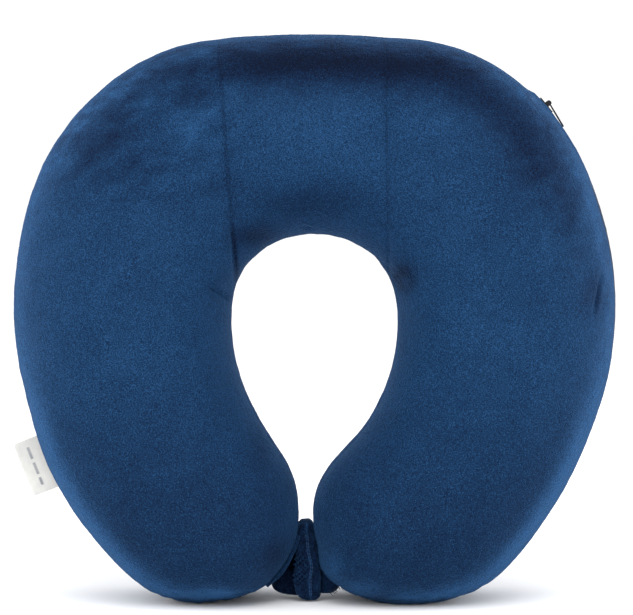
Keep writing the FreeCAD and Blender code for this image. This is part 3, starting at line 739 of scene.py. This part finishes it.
def rim_shade_and_highlights(points, strokes, streaks):
    """Painted shade under the crown, partly darker brushed pile, and painted highlights along the rim and
    the lower edge.
    """
    x, _, z = points.T
    inward = rim_distance(points, rim)
    dark = BAND_SHADE_AND_NAP + BAND_EXTRA_SHADE_AND_NAP * smooth_step(*BAND_EXTRA_SHADE_FADE, x)
    nap_and_shade = -region(x, z, *BAND_FADES) * dark * bump(inward - BAND_IN + BAND_WAVER * strokes, BAND_WIDTH)
    light = EDGE_HIGHLIGHT + (EDGE_STREAKS + EDGE_CROWN_STREAKS * smooth_step(*EDGE_CROWN_FADE, z)) * streaks
    nap_and_shade += mound(inward, EDGE_IN, EDGE_WIDTH, light) * smooth_step(*EDGE_FADE, z)
    return nap_and_shade + mound(inward, *LOW_EDGE_HIGHLIGHT) * smooth_step(*LOW_EDGE_FADE, z)


def seam_painted_shade(points):
    """Painted shade along the grooves of the cross seams and in the crease at the neck."""
    nap_and_shade = -mound(seam_offset(points, "left"), *NECK_SEAM_SHADE) * smooth_step(*NECK_SEAM_FADE, points[:, 2])
    for side, amount in SEAM_PAINTED_SHADE.items():
        aside = seam_offset(points, side)
        nap_and_shade -= mound(aside, 0, SEAM_LINE_WIDTH, amount)
        nap_and_shade -= mound(aside, SEAM_SHADE_ASIDE, SEAM_SHADE_WIDTH, SEAM_SHADE_SHARE * amount)
    return nap_and_shade


def nap_and_painted_light(points):
    """How the pile is brushed, with painted light and shade: 0.5 is even, lower looks darker, higher looks
    lighter.
    """
    x, y, z = points.T
    stroked = np.stack((BRUSH_STRETCH * (x + BRUSH_LEAN * z), y, z - BRUSH_LEAN * x), axis=1)
    strokes = layered_noise(stroked, BRUSH_STROKES)
    streaks = noise_field(points * STREAK_SHAPE, STREAK_SIZE, STREAK_SEED)
    nap_and_shade = rim_shade_and_highlights(points, strokes, streaks) + seam_painted_shade(points)
    nap_and_shade -= TOP_PAINTED_SHADE * smooth_step(*TOP_FADE, z)
    nap_and_shade -= FLOOR_PAINTED_SHADOW * smooth_step(*FLOOR_FADE, z + FLOOR_WAVER * streaks)
    nap_and_shade -= ARM_PAINTED_SHADE * smooth_step(*ARM_FADE, z)
    left_z, left_x = LEFT_SHOULDER_FADES
    shoulders = smooth_step(*left_z, z) * smooth_step(*left_x, x)
    shoulders += smooth_step(*RIGHT_SHOULDER_FADE, x) * mound(z, *RIGHT_SHOULDER)
    nap_and_shade += (STROKES_ON_SHOULDERS * shoulders + STROKES_ALL_OVER) * strokes
    nap_and_shade += sum(spot(x, z, *patch) for patch in NAP_AND_SHADE_PATCHES)
    return 0.5 + nap_and_shade * np.maximum(facing_front(points), BACK_SHARE)


def turn_hem(edit):
    """Turn the open edges of a panel inward."""
    edit.normal_update()
    border = open_edges(edit)
    inward = {vert: vert.normal.copy() for edge in border for vert in edge.verts}
    made = bmesh.ops.extrude_edge_only(edit, edges=border)
    fresh = [item for item in made["geom"] if isinstance(item, bmesh.types.BMVert)]
    sources = {tuple(vert.co): normal for vert, normal in inward.items()}
    for vert in fresh:
        vert.co -= sources[tuple(vert.co)] * HEM_DEPTH * MM


def part_of_mesh(name, mesh, keep):
    """New mesh from the polygons that a mask keeps."""
    points = coordinates(mesh)
    faces = [mesh.polygons[index].vertices[:] for index in np.flatnonzero(keep)]
    used = sorted({vertex for face in faces for vertex in face})
    new_index = {vertex: number for number, vertex in enumerate(used)}
    return mesh_from(name, points[used], [[new_index[v] for v in face] for face in faces])


def centres(mesh):
    """Face centres in millimetres."""
    return read_vectors(mesh.polygons, "center") / MM


def cut_plane(edit, chosen, point, normal):
    """Cut the chosen faces along a plane; point and normal are X, Y, Z, point in millimetres."""
    faces = [face for face in edit.faces if chosen(face.calc_center_median() / MM)]
    geometry = {*faces, *(e for f in faces for e in f.edges), *(v for f in faces for v in f.verts)}
    bmesh.ops.bisect_plane(edit, geom=list(geometry), plane_co=Vector(point) * MM, plane_no=Vector(normal))


# how far from a cutting plane faces are still cut: cross seam, rim seam, zip opening
CROSS_CUT_REACH, RIM_CUT_REACH, ZIP_CUT_REACH = 25, 6, 4


def cut_cross_seams(edit):
    for low, high in SEAM_X.values():
        lean = (high - low) / (SEAM_HIGH_Z - SEAM_LOW_Z)
        cut_plane(
            edit,
            lambda centre, low=low: centre.z > SEAM_START_Z and abs(centre.x - low) < CROSS_CUT_REACH,
            (low, 0, SEAM_LOW_Z),
            (1, 0, -lean),
        )


def side_of(points):
    """Which panel each point belongs to."""
    x, _, z = points.T
    names = np.full(len(points), "nape", dtype="<U5")
    below = z < SEAM_START_Z
    names[(x < seam_x("left", z)) | (below & (x < ARM_GAP_X))] = "left"
    names[(x > seam_x("right", z)) | (below & (x >= ARM_GAP_X))] = "right"
    return names


def attach(item, side, material):
    """Give a piece its material and smooth shading, and tie it to the body it moves with; a nape piece keeps
    its place unparented.
    """
    item.data.materials.clear()
    item.data.materials.append(material)
    shade_smooth(item.data)
    if side == "nape":
        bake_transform(item)
    else:
        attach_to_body(item, BODY[side])


def beside_zip(centre):
    """Whether a face's centre lies on the outer side of the right arm, between the ends of the zip."""
    angle = math.degrees(math.atan2(centre.z - ZIP_CENTRE[1], centre.x - ZIP_CENTRE[0]))
    return centre.x > ZIP_SIDE_X and ZIP_BOTTOM < angle < ZIP_TOP


def cut_skin(edit):
    """Cut the skin along every seam and both edges of the zip opening."""
    cut_plane(edit, lambda centre: abs(centre.y) < RIM_CUT_REACH, (0, 0, 0), (0, 1, 0))
    cut_cross_seams(edit)
    for sign in (-1, 1):
        cut_plane(
            edit,
            lambda centre, y=sign * ZIP_OPENING: abs(centre.y - y) < ZIP_CUT_REACH and beside_zip(centre),
            (0, sign * ZIP_OPENING, 0),
            (0, 1, 0),
        )


def make_cover(skin, material):
    """The six plush panels, with a hem along every cut edge."""
    whole = skin.data.copy()
    edit_mesh(whole, cut_skin)
    middle = centres(whole)
    sides = side_of(middle)
    slit = (abs(middle[:, 1]) < ZIP_OPENING) & np.array([beside_zip(Vector(point)) for point in middle])
    for side in SIDES:
        for face, chosen in (("front", middle[:, 1] < 0), ("back", middle[:, 1] >= 0)):
            name = f"plush_{face}_{side}"
            mesh = part_of_mesh(name, whole, (sides == side) & chosen & ~slit)
            set_attribute(mesh, "nap_and_shade", nap_and_painted_light(coordinates(mesh)))
            edit_mesh(mesh, turn_hem)
            panel = new_object(name, mesh)
            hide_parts(f"cover_{face}_{side}")
            attach(panel, side, material)


def make_layer(core, kind, node, outset, material, closed):
    """Foam core or inner liner, in the three sections of its CAD nodes; closed fills the cut ends."""
    mesh = core.copy()
    raise_surface(mesh, outset)
    edit_mesh(mesh, cut_cross_seams)
    sides = side_of(centres(mesh))
    for side in SIDES:
        section = part_of_mesh(f"{kind}_{side}", mesh, sides == side)
        if closed:
            edit_mesh(section, lambda edit: bmesh.ops.holes_fill(edit, edges=open_edges(edit), sides=0))
        piece = new_object(f"{kind}_{side}", section)
        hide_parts(f"{node}_{side}")
        attach(piece, side, material)


velour = velour_material()
make_cover(skin, velour)
bpy.data.objects.remove(skin)
memory_foam = mottled_material(
    "memory_foam", (0.9, 3, 0.7), (0.3, FOAM_DARK), (0.6, FOAM_LIGHT), 0.4, 0.9,
    Specular_IOR_Level=0.2, Subsurface_Weight=0.05,
)
make_layer(core, "foam", "foam_core", 0, memory_foam, True)
liner = knit_material("liner_knit", LINER_DARK, LINER_LIGHT, 0.5)
make_layer(core, "liner", "inner_liner", LINER_OUTSET, liner, False)


# ---------------------------------------------------------------- zip
def zip_point(angle, outset, y):
    """Point beside the zip: angle in degrees along it, distance out from it, and Y."""
    reach = ZIP_RADIUS + outset
    turn = math.radians(angle)
    return (ZIP_CENTRE[0] + reach * math.cos(turn), y, ZIP_CENTRE[1] + reach * math.sin(turn))


# a direction that no tube runs along, to lay its rings by
TUBE_GUIDE = (0.31, 0.87, 0.38)


def swept_tube(path, radius, sides):
    """Points and faces of a tube along a path."""
    path = np.array(path)
    heading = np.gradient(path, axis=0)
    heading /= np.linalg.norm(heading, axis=1, keepdims=True)
    guide = np.tile(TUBE_GUIDE, (len(path), 1))
    across = np.cross(heading, guide)
    across /= np.linalg.norm(across, axis=1, keepdims=True)
    up = np.cross(heading, across)
    angles = np.arange(sides) * 2 * math.pi / sides
    ring = np.cos(angles)[None, :, None] * across[:, None] + np.sin(angles)[None, :, None] * up[:, None]
    points = (path[:, None] + radius * ring).reshape(-1, 3)
    return points, ring_faces(len(path), sides)


COIL_PITCH = 1.15
COIL_MIDDLE, COIL_HALF_WIDTH, COIL_HALF_HEIGHT = 0.85, 0.85, 0.42
COIL_WIRE, COIL_WIRE_SIDES = 0.2, 5
COIL_STEPS = 10


def make_coil(face, sign, material):
    """One side of the zip's teeth: a flattened helix of monofilament."""
    length = math.radians(ZIP_TOP - ZIP_BOTTOM) * ZIP_RADIUS
    turns = round(length / COIL_PITCH)
    path = []
    for step in range(turns * COIL_STEPS + 1):
        share = step / (turns * COIL_STEPS)
        phase = 2 * math.pi * (step / COIL_STEPS + (0.5 if sign > 0 else 0))
        y = sign * (COIL_MIDDLE + COIL_HALF_WIDTH * math.cos(phase))
        angle = ZIP_TOP + (ZIP_BOTTOM - ZIP_TOP) * share
        path.append(zip_point(angle, COIL_HALF_HEIGHT * math.sin(phase), y))
    points, faces = swept_tube(path, COIL_WIRE, COIL_WIRE_SIDES)
    coil = new_object(f"coil_{face}", mesh_from(f"coil_{face}", points, faces))
    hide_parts(f"zip_coil_{face}")
    attach(coil, "right", material)


def repaint(names, material):
    """Give CAD nodes that stay in view a finished material."""
    for name in names:
        if not nodes[name].material_slots:
            nodes[name].data.materials.append(material)
        for place in nodes[name].material_slots:
            place.material = material


coil_plastic = mottled_material(
    "coil_plastic", (0.7, 3, 0.6), (0.3, COIL_DARK), (0.7, COIL_LIGHT), 0.02, 0.35,
    wear=0.2, Specular_IOR_Level=0.5,
)
for face, sign in (("front", -1), ("back", 1)):
    make_coil(face, sign, coil_plastic)
tape_weave = knit_material("tape_weave", TAPE_DARK, TAPE_LIGHT, 0.35)
repaint(("zip_tape_front", "zip_tape_back"), tape_weave)
zip_metal = metal_material("zip_metal", BLACK_METAL_DARK, BLACK_METAL_LIGHT, 0.4, 0.0, 0.25)
repaint(("zip_top_stops", "zip_bottom_stop", "zip_slider", "zip_puller"), zip_metal)
stud_metal = metal_material("stud_metal", STUD_DARK, STUD_LIGHT, 0.3, 0.95, 0.5)
repaint(("press_stud", "press_stud_cap", "press_socket", "press_socket_cap"), stud_metal)


# ---------------------------------------------------------------- label
# X and Z that the visual label is laid out from: the CAD label's middle, moved a little
label_box = np.array(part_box("side_label")) / MM
LABEL_SHIFT = (0.364, -0.034)
LABEL_BASE = label_box.mean(0)[[0, 2]] + LABEL_SHIFT
LABEL_TILT = math.radians(21.5)
LABEL_LONG, LABEL_OUT, LABEL_IN = 28.0, 11.5, 2.5
# half the gap in the folded ribbon, the radius of its corners, its thickness
LABEL_FOLD, LABEL_ROUND, LABEL_THICK = 0.3, 1.6, 0.18
LABEL_CURL, LABEL_CURL_WAVE, LABEL_CURL_START = 0.9, 4.2, 0.4
LABEL_ROWS, LABEL_COLUMNS = 29, 113
LABEL_TURN_ANGLES = (60, 30, 0, -30, -60)
# printed bars: distance out from the seam, half width, and the middle and half length of each
BAR_OUT, BAR_HALF_WIDTH = 5.6, 0.9
BARS = (-7.0, 3.2), (1.2, 3.2), (8.2, 2.0)


def printed_mark(out, along):
    """Plain printed bars down the label: 1 inside a bar."""
    in_band = abs(out - BAR_OUT) < BAR_HALF_WIDTH
    return float(in_band and any(abs(along - middle) < half for middle, half in BARS))


def label_profile():
    """Section of the folded ribbon, out along one side and back along the other: out, lift."""
    outward = [(out, LABEL_FOLD) for out in np.linspace(-LABEL_IN, LABEL_OUT, LABEL_ROWS)]
    turns = [math.radians(angle) for angle in LABEL_TURN_ANGLES]
    fold = [(LABEL_OUT + LABEL_FOLD * math.cos(turn), LABEL_FOLD * math.sin(turn)) for turn in turns]
    return outward + fold + [(out, -lift) for out, lift in reversed(outward)]


def corner_cut(along):
    """How far the rounded corners pull the outer edge in; along runs from -0.5 to 0.5."""
    past_corner = max(0, (abs(along) - 0.5) * LABEL_LONG / LABEL_ROUND + 1)
    return LABEL_ROUND * (1 - math.sqrt(1 - min(past_corner, 1) ** 2))


def make_label(material):
    """Satin ribbon folded over at its outer edge and sewn into the side seam."""
    profile = label_profile()
    points, faces, marks = [], [], []
    for along in np.linspace(-0.5, 0.5, LABEL_COLUMNS):
        down = along * LABEL_LONG
        for out, lift in profile:
            outer_share = max(out, 0) / LABEL_OUT
            curl = LABEL_CURL * math.sin(LABEL_CURL_WAVE * along + LABEL_CURL_START) * outer_share
            reach = out - corner_cut(along) * outer_share
            x = LABEL_BASE[0] - reach * math.cos(LABEL_TILT) + down * math.sin(LABEL_TILT)
            z = LABEL_BASE[1] - reach * math.sin(LABEL_TILT) - down * math.cos(LABEL_TILT)
            points.append((x, lift + curl, z))
            marks.append(printed_mark(out, down))
    rows = len(profile)
    for column in range(LABEL_COLUMNS - 1):
        for row in range(rows - 1):
            first = column * rows + row
            faces.append((first, first + 1, first + 1 + rows, first + rows))
    mesh = mesh_from("satin_label", points, faces)
    set_attribute(mesh, "print", marks)
    label = new_object("satin_label", mesh)
    modify(label, "SOLIDIFY", thickness=LABEL_THICK * MM, offset=0)
    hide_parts("side_label")
    attach(label, "left", material)


def satin_material():
    """Off-white satin with a fine diagonal weave and plain grey bars, no lettering."""
    satin = Material("satin", Roughness=0.42, Specular_IOR_Level=0.5, Sheen_Weight=0.1)
    threads = satin.wave(0.28, "DIAGONAL", 0.3)
    soil = satin.noise(5, 3)
    printed = satin.attribute("print")
    tone = satin.weighted(0.7, (threads, 0.2), (soil, 0.4))
    tone = satin.math("SUBTRACT", tone, satin.math("MULTIPLY", printed, 0.5))
    satin.colour(satin.ramp(tone, (0.0, SATIN_PRINT), (0.35, SATIN_DARK), (0.8, SATIN_LIGHT)))
    satin.bumps(threads, 0.05)
    return satin.data


make_label(satin_material())


# ---------------------------------------------------------------- closure between the arm tips
# sections of each lobe, from the top down: Z, X from and to, Y from and to
FLAP_SECTIONS = (
    (40.2, -6.6, -2.2, -5, 2),
    (38.6, -8.6, -0.2, -9, 5),
    (35, -9, 0.2, -10.5, 4),
    (31, -9, 0.8, -12, -1),
    (24, -9.4, 2.4, -14, -5),
    (17, -10.2, 3, -15, -5),
    (10, -10.6, 3.3, -15, -4.8),
    (5, -9.6, 3.2, -14.5, -4.8),
    (2.2, -7.4, 2.6, -13.5, -5),
    (0.6, -4.6, 0.8, -12, -7),
)
RIGHT_LOBE_SECTIONS = (
    (26, 2, 5, -4, 6),
    (19.5, 1.9, 8, -9, 8),
    (13.5, 1.9, 11.5, -10, 9),
    (9, 1.9, 13.8, -10, 9),
    (6, 1.9, 12, -9, 8),
    (3.8, 2.4, 9, -7, 6),
)
LEFT_LOBE_SECTIONS = (
    (36, -6.2, -3.2, 4, 8),
    (29, -10, -2.4, 5, 9),
    (21, -15, -1.9, 6, 10.5),
    (17.5, -16.5, -1.9, 5, 10.5),
    (14.5, -17.5, -1.9, -2.5, 10),
    (12, -19, -1.9, -4, 9.5),
    (7.5, -21.6, -1.9, -4, 9),
    (4.4, -20.5, -1.9, -4, 8),
    (2.4, -16.5, -3, -3, 6),
)
# the turned edge of the left tab, from its top down: X, Y, Z
COLLAR_PATH = (-8.2, -9.5, 33), (-10.2, -13, 27), (-13.6, -16.5, 20), (-18.2, -18.5, 14), (-24, -18, 9)
COLLAR_STEPS, COLLAR_SIDES, COLLAR_ROUNDS = 40, 16, 6
COLLAR_SHAPE = (1.25, 2.2, 1.25)
# the stitched edge of the flap: Z, X
STITCH_EDGE = (3, -1.9), (11.7, -2.3), (17.5, -1.3), (26, -3.2), (34, -3.9)
STITCH_LENGTH, STITCH_GAP, STITCH_THREAD, STITCH_SIDES = 1.1, 0.6, 0.13, 6
STITCH_FROM_Z, STITCH_TO_Z, STITCH_OUT = 3.6, 33.0, 0.1
STITCH_LINES = (-0.5, 0.55)
LOBE_ROWS, LOBE_CORNERS, LOBE_ROUNDS, LOBE_SQUARENESS = 56, 72, 3, 2.6
# pleats beside the stitched edge: spacing, slant, curve and the X it bends from
PLEAT_SPACING, PLEAT_SLANT, PLEAT_CURVE, PLEAT_BEND_X = 2.6, 0.8, 0.05, -9
PLEAT_ASIDE_FADE = (-1.4, -3.0)
PLEAT_ROWS = ((20, 3.4), (12.5, 2.8))
PLEAT_HEIGHT = 1.1
# across the stitched edge of the flap: distance aside, half width, rise
RIDGE_BANDS = ((0, 0.9, 0.9), (-2.2, 1.0, -1.1), (2.0, 0.8, -0.6))
RIDGE_LOW_FADE, RIDGE_HIGH_FADE, FLAP_FRONT_FADE = (1, 5), (38, 32), (-6, -9)
# cloth noise: size, height, seed
FLAP_NOISE = ((4.5, 0.6, 11), (1.7, 0.25, 12))
LOBE_NOISE = ((5.5, 0.7, 13), (1.4, 0.15, 14))
COLLAR_NOISE_SHARE = 0.6
# the tabs: a painted highlight along the ridge and on the pleats, and the uneven pile
RIDGE_LIGHT_WIDTH, RIDGE_LIGHT_EVEN, RIDGE_LIGHT_BROKEN = 0.42, 0.6, 0.4
RIDGE_BREAK_SIZE, RIDGE_BREAK_SEED, PLEAT_LIGHT = 2.5, 15, 0.6
TAB_LIGHT_FADE = (-5, -9)
TAB_PATCH_AMOUNT, TAB_PATCH_SIZE, TAB_PATCH_SEED = 0.14, 2.4, 16
# loose fibres at the cut edge: where they start and end, how they lean, how they scatter
FRAY_COUNT, FRAY_THREAD, FRAY_SIDES, FRAY_STEPS, FRAY_WAVE = 11, 0.16, 5, 5, 0.15
FRAY_START, FRAY_RUN, FRAY_SCATTER = np.array((13.4, -7.0, 8.8)), np.array((-6.5, 0, -4.4)), 1.5
FRAY_LEAN, FRAY_LEAN_SCATTER = (0.9, 0.0, -0.5), (0.5, -0.4, -0.6)
FRAY_LENGTH, FRAY_LENGTH_SCATTER = 1.2, 1.3
FRAY_SEED = 5


def smoothed(rows, rounds):
    """Rows averaged with their neighbours, the end rows kept."""
    for _ in range(rounds):
        rows[1:-1] = (rows[:-2] + 2 * rows[1:-1] + rows[2:]) / 4
    return rows


def resampled(table, count):
    """Rows of a table spread out to a count by straight steps."""
    table = np.array(table)
    knots = np.linspace(0, 1, len(table))
    share = np.linspace(0, 1, count)
    return np.array([np.interp(share, knots, column) for column in table.T]).T


def rounded_square(values):
    return np.sign(values) * abs(values) ** (2 / LOBE_SQUARENESS)


def lobe_mesh(name, sections):
    """Soft closed form through its sections."""
    angles = np.arange(LOBE_CORNERS) * 2 * math.pi / LOBE_CORNERS
    across, deep = rounded_square(np.cos(angles)), rounded_square(np.sin(angles))
    rings = []
    for z, x_low, x_high, y_low, y_high in smoothed(resampled(sections[::-1], LOBE_ROWS), LOBE_ROUNDS):
        x = (x_low + x_high) / 2 + (x_high - x_low) / 2 * across
        y = (y_low + y_high) / 2 + (y_high - y_low) / 2 * deep
        rings.append(np.stack((x, y, np.full(LOBE_CORNERS, z)), axis=1))
    return mesh_from(name, np.concatenate(rings), ring_faces(LOBE_ROWS, LOBE_CORNERS))


def stitch_x(z):
    table = np.array(STITCH_EDGE)
    return np.interp(z, table[:, 0], table[:, 1])


def pleats(points):
    """Small folds that fan out beside the stitched edge: positive on a fold, negative between."""
    x, _, z = points.T
    fan = np.sin(2 * math.pi * (z - PLEAT_SLANT * x - PLEAT_CURVE * (x - PLEAT_BEND_X) ** 2) / PLEAT_SPACING)
    rows = sum(bump(z - middle, high) for middle, high in PLEAT_ROWS)
    return fan * smooth_step(*PLEAT_ASIDE_FADE, x - stitch_x(z)) * rows


def flap_rise(points):
    """Ridge of the stitched edge, and the small pleats that fan out beside it."""
    x, y, z = points.T
    length = smooth_step(*RIDGE_LOW_FADE, z) * smooth_step(*RIDGE_HIGH_FADE, z)
    ridge = length * sum(mound(x - stitch_x(z), *band) for band in RIDGE_BANDS)
    front = smooth_step(*FLAP_FRONT_FADE, y)
    return front * (ridge + PLEAT_HEIGHT * pleats(points)) + layered_noise(points, FLAP_NOISE)


def lobe_rise(points):
    return layered_noise(points, LOBE_NOISE)


def collar_mesh():
    """The turned edge of the left tab, a flattened roll."""
    path = smoothed(resampled(COLLAR_PATH, COLLAR_STEPS), COLLAR_ROUNDS)
    points, faces = swept_tube(path, 1.0, COLLAR_SIDES)
    middle = np.repeat(path, COLLAR_SIDES, axis=0)
    return mesh_from("collar", middle + (points - middle) * COLLAR_SHAPE, faces)


def frayed_threads(rng):
    """Loose fibres at the cut edge of the right lobe."""
    parts = []
    for share in np.linspace(0, 1, FRAY_COUNT):
        start = FRAY_START + FRAY_RUN * share - (0, FRAY_SCATTER * rng.random(), 0)
        lean = [least + scatter * rng.random() for least, scatter in zip(FRAY_LEAN, FRAY_LEAN_SCATTER)]
        step_length = (FRAY_LENGTH + FRAY_LENGTH_SCATTER * rng.random()) / (FRAY_STEPS - 1)
        path = []
        for step in range(FRAY_STEPS):
            path.append(start + np.array(lean) * step_length * step + (0, 0, FRAY_WAVE * math.sin(step)))
        parts.append(swept_tube(path, FRAY_THREAD, FRAY_SIDES))
    return parts


def stitches():
    """Thread dashes down both sides of the ridge of the flap: X and Z of three points each."""
    dashes = []
    z = STITCH_FROM_Z
    while z < STITCH_TO_Z:
        for aside in STITCH_LINES:
            heights = (z, z + STITCH_LENGTH / 2, z + STITCH_LENGTH)
            dashes.append([(float(stitch_x(height)) + aside, height) for height in heights])
        z += STITCH_LENGTH + STITCH_GAP
    return dashes


def joined_mesh(name, parts):
    """One mesh from several (points, faces) pairs."""
    points, faces = [], []
    for part_points, part_faces in parts:
        start = len(points)
        points.extend(map(tuple, part_points))
        faces.extend(tuple(start + index for index in face) for face in part_faces)
    return mesh_from(name, points, faces)


def finish_plush(item, side, replaced, tone, light=0.0):
    """Velour on a lobe; a tone below 0.5 darkens it as painted shade, and light adds a painted highlight
    along the stitched ridge and the pleats.
    """
    points = coordinates(item.data)
    x, y, z = points.T
    ridge = bump(x - stitch_x(z), RIDGE_LIGHT_WIDTH)
    broken = noise_field(points, RIDGE_BREAK_SIZE, RIDGE_BREAK_SEED)
    ridge *= RIDGE_LIGHT_EVEN + RIDGE_LIGHT_BROKEN * broken
    nap_and_shade = tone + light * (ridge + PLEAT_LIGHT * pleats(points)) * smooth_step(*TAB_LIGHT_FADE, y)
    nap_and_shade += TAB_PATCH_AMOUNT * noise_field(points, TAB_PATCH_SIZE, TAB_PATCH_SEED)
    set_attribute(item.data, "nap_and_shade", nap_and_shade)
    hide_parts(replaced)
    attach(item, side, velour)


def surface_y(item, x, z):
    """Y of the frontmost point of a piece at an X and Z; none where the piece is not there."""
    hit, place, _, _ = item.ray_cast(Vector((x, cad_box[0].y / MM, z)) * MM, Vector((0, 1, 0)))
    return place.y / MM if hit else None


def make_closure():
    """The two folded tabs between the arm tips, with the stitches and loose fibres of the right one."""
    pieces = {}
    for name, sections, rise in (
        ("tab_flap", FLAP_SECTIONS, flap_rise),
        ("tab_lobe_right", RIGHT_LOBE_SECTIONS, lobe_rise),
        ("tab_lobe_left", LEFT_LOBE_SECTIONS, lobe_rise),
    ):
        mesh = lobe_mesh(name, sections)
        raise_surface(mesh, rise(coordinates(mesh)))
        pieces[name] = new_object(name, mesh)
    collar = new_object("tab_collar", collar_mesh())
    raise_surface(collar.data, COLLAR_NOISE_SHARE * lobe_rise(coordinates(collar.data)))
    bpy.context.view_layer.update()

    thread_parts = []
    for dash in stitches():
        depths = [surface_y(pieces["tab_flap"], x, z) for x, z in dash]
        if None not in depths:
            path = [(x, y - STITCH_OUT, z) for (x, z), y in zip(dash, depths)]
            thread_parts.append(swept_tube(path, STITCH_THREAD, STITCH_SIDES))
    threads = new_object("tab_stitches", joined_mesh("tab_stitches", thread_parts))
    fray_parts = frayed_threads(np.random.default_rng(FRAY_SEED))
    fray = new_object("tab_fray", joined_mesh("tab_fray", fray_parts))

    # tones below 0.5 are painted shade of the recess between the arm tips, deepest on the left lobe and
    # least on the turned collar
    finish_plush(pieces["tab_flap"], "right", "closure_tab_right", tone=0.25, light=0.7)
    finish_plush(pieces["tab_lobe_right"], "right", "closure_tab_right", tone=0.22)
    finish_plush(pieces["tab_lobe_left"], "left", "closure_tab_left", tone=0.16)
    finish_plush(collar, "left", "closure_tab_left", tone=0.38)
    attach(fray, "right", knit_material("loose_thread", FRAY_DARK, FRAY_LIGHT, 0.3))
    attach(threads, "right", knit_material("thread", THREAD_DARK, THREAD_LIGHT, 0.3))


make_closure()


# ---------------------------------------------------------------- floor, light and camera
# width of the view at the pillow, and what the camera looks at
FRAME_WIDTH = 0.3165
FRAME_CENTRE = Vector((0.001, 0.0, 0.1467))
CAMERA_TILT = math.radians(5)
CAMERA_DISTANCE = 2.6
FLOOR_RADIUS, FLOOR_CORNERS = 5.0, 64
PAPER_CLOUD = 900
SENSOR_WIDTH = 36
CAMERA_REACH = 20
WORLD_STRENGTH = 1.15
# soft square lights aimed at the pillow: name, place, size, power
LIGHTS = (
    ("top_light", (0.1, -0.9, 1.5), 1.4, 19),
    ("front_light", (-0.7, -1.8, 0.9), 1.2, 8),
    ("left_rim", (-1.4, 0.4, 0.4), 0.9, 10),
    ("right_rim", (1.4, 0.4, 0.4), 0.9, 11),
    ("low_light", (0.1, -1.5, 0.12), 0.8, 1.5),
    ("left_low", (-0.9, -0.15, 0.08), 0.4, 1.6),
    ("right_low", (0.9, -0.15, 0.08), 0.4, 1.6),
)


def make_floor():
    """Pale studio floor, a wide disc under the pillow."""
    turns = [2 * math.pi * corner / FLOOR_CORNERS for corner in range(FLOOR_CORNERS)]
    points = [(FLOOR_RADIUS * math.cos(turn), FLOOR_RADIUS * math.sin(turn), 0) for turn in turns]
    mesh = bpy.data.meshes.new("floor")
    mesh.from_pydata(points, [], [tuple(range(FLOOR_CORNERS))])
    floor = new_object("floor", mesh)
    paper = Material("paper", Roughness=0.9, Specular_IOR_Level=0.1)
    paper.colour(paper.ramp(paper.noise(PAPER_CLOUD, 1), (0.3, PAPER_DARK), (0.7, PAPER_LIGHT)))
    mesh.materials.append(paper.data)


def add_light(name, place, size, power):
    light = bpy.data.lights.new(name, "AREA")
    light.size = size
    light.energy = power
    item = new_object(name, light)
    item.location = place
    item.rotation_euler = (FRAME_CENTRE - Vector(place)).to_track_quat("-Z", "Y").to_euler()


def make_world():
    world = bpy.data.worlds.new("studio")
    world.use_nodes = True
    background = world.node_tree.nodes["Background"]
    background.inputs["Color"].default_value = (1, 1, 1, 1)
    background.inputs["Strength"].default_value = WORLD_STRENGTH
    scene.world = world


def make_camera():
    data = bpy.data.cameras.new("camera")
    data.sensor_width = SENSOR_WIDTH
    data.lens = SENSOR_WIDTH * CAMERA_DISTANCE / FRAME_WIDTH
    data.clip_end = CAMERA_REACH
    camera = new_object("camera", data)
    away = Vector((0, -math.cos(CAMERA_TILT), math.sin(CAMERA_TILT)))
    camera.location = FRAME_CENTRE + away * CAMERA_DISTANCE
    camera.rotation_euler = (-away).to_track_quat("-Z", "Y").to_euler()
    scene.camera = camera


make_floor()
make_world()
for light in LIGHTS:
    add_light(*light)
make_camera()
scene.view_settings.view_transform = "Standard"
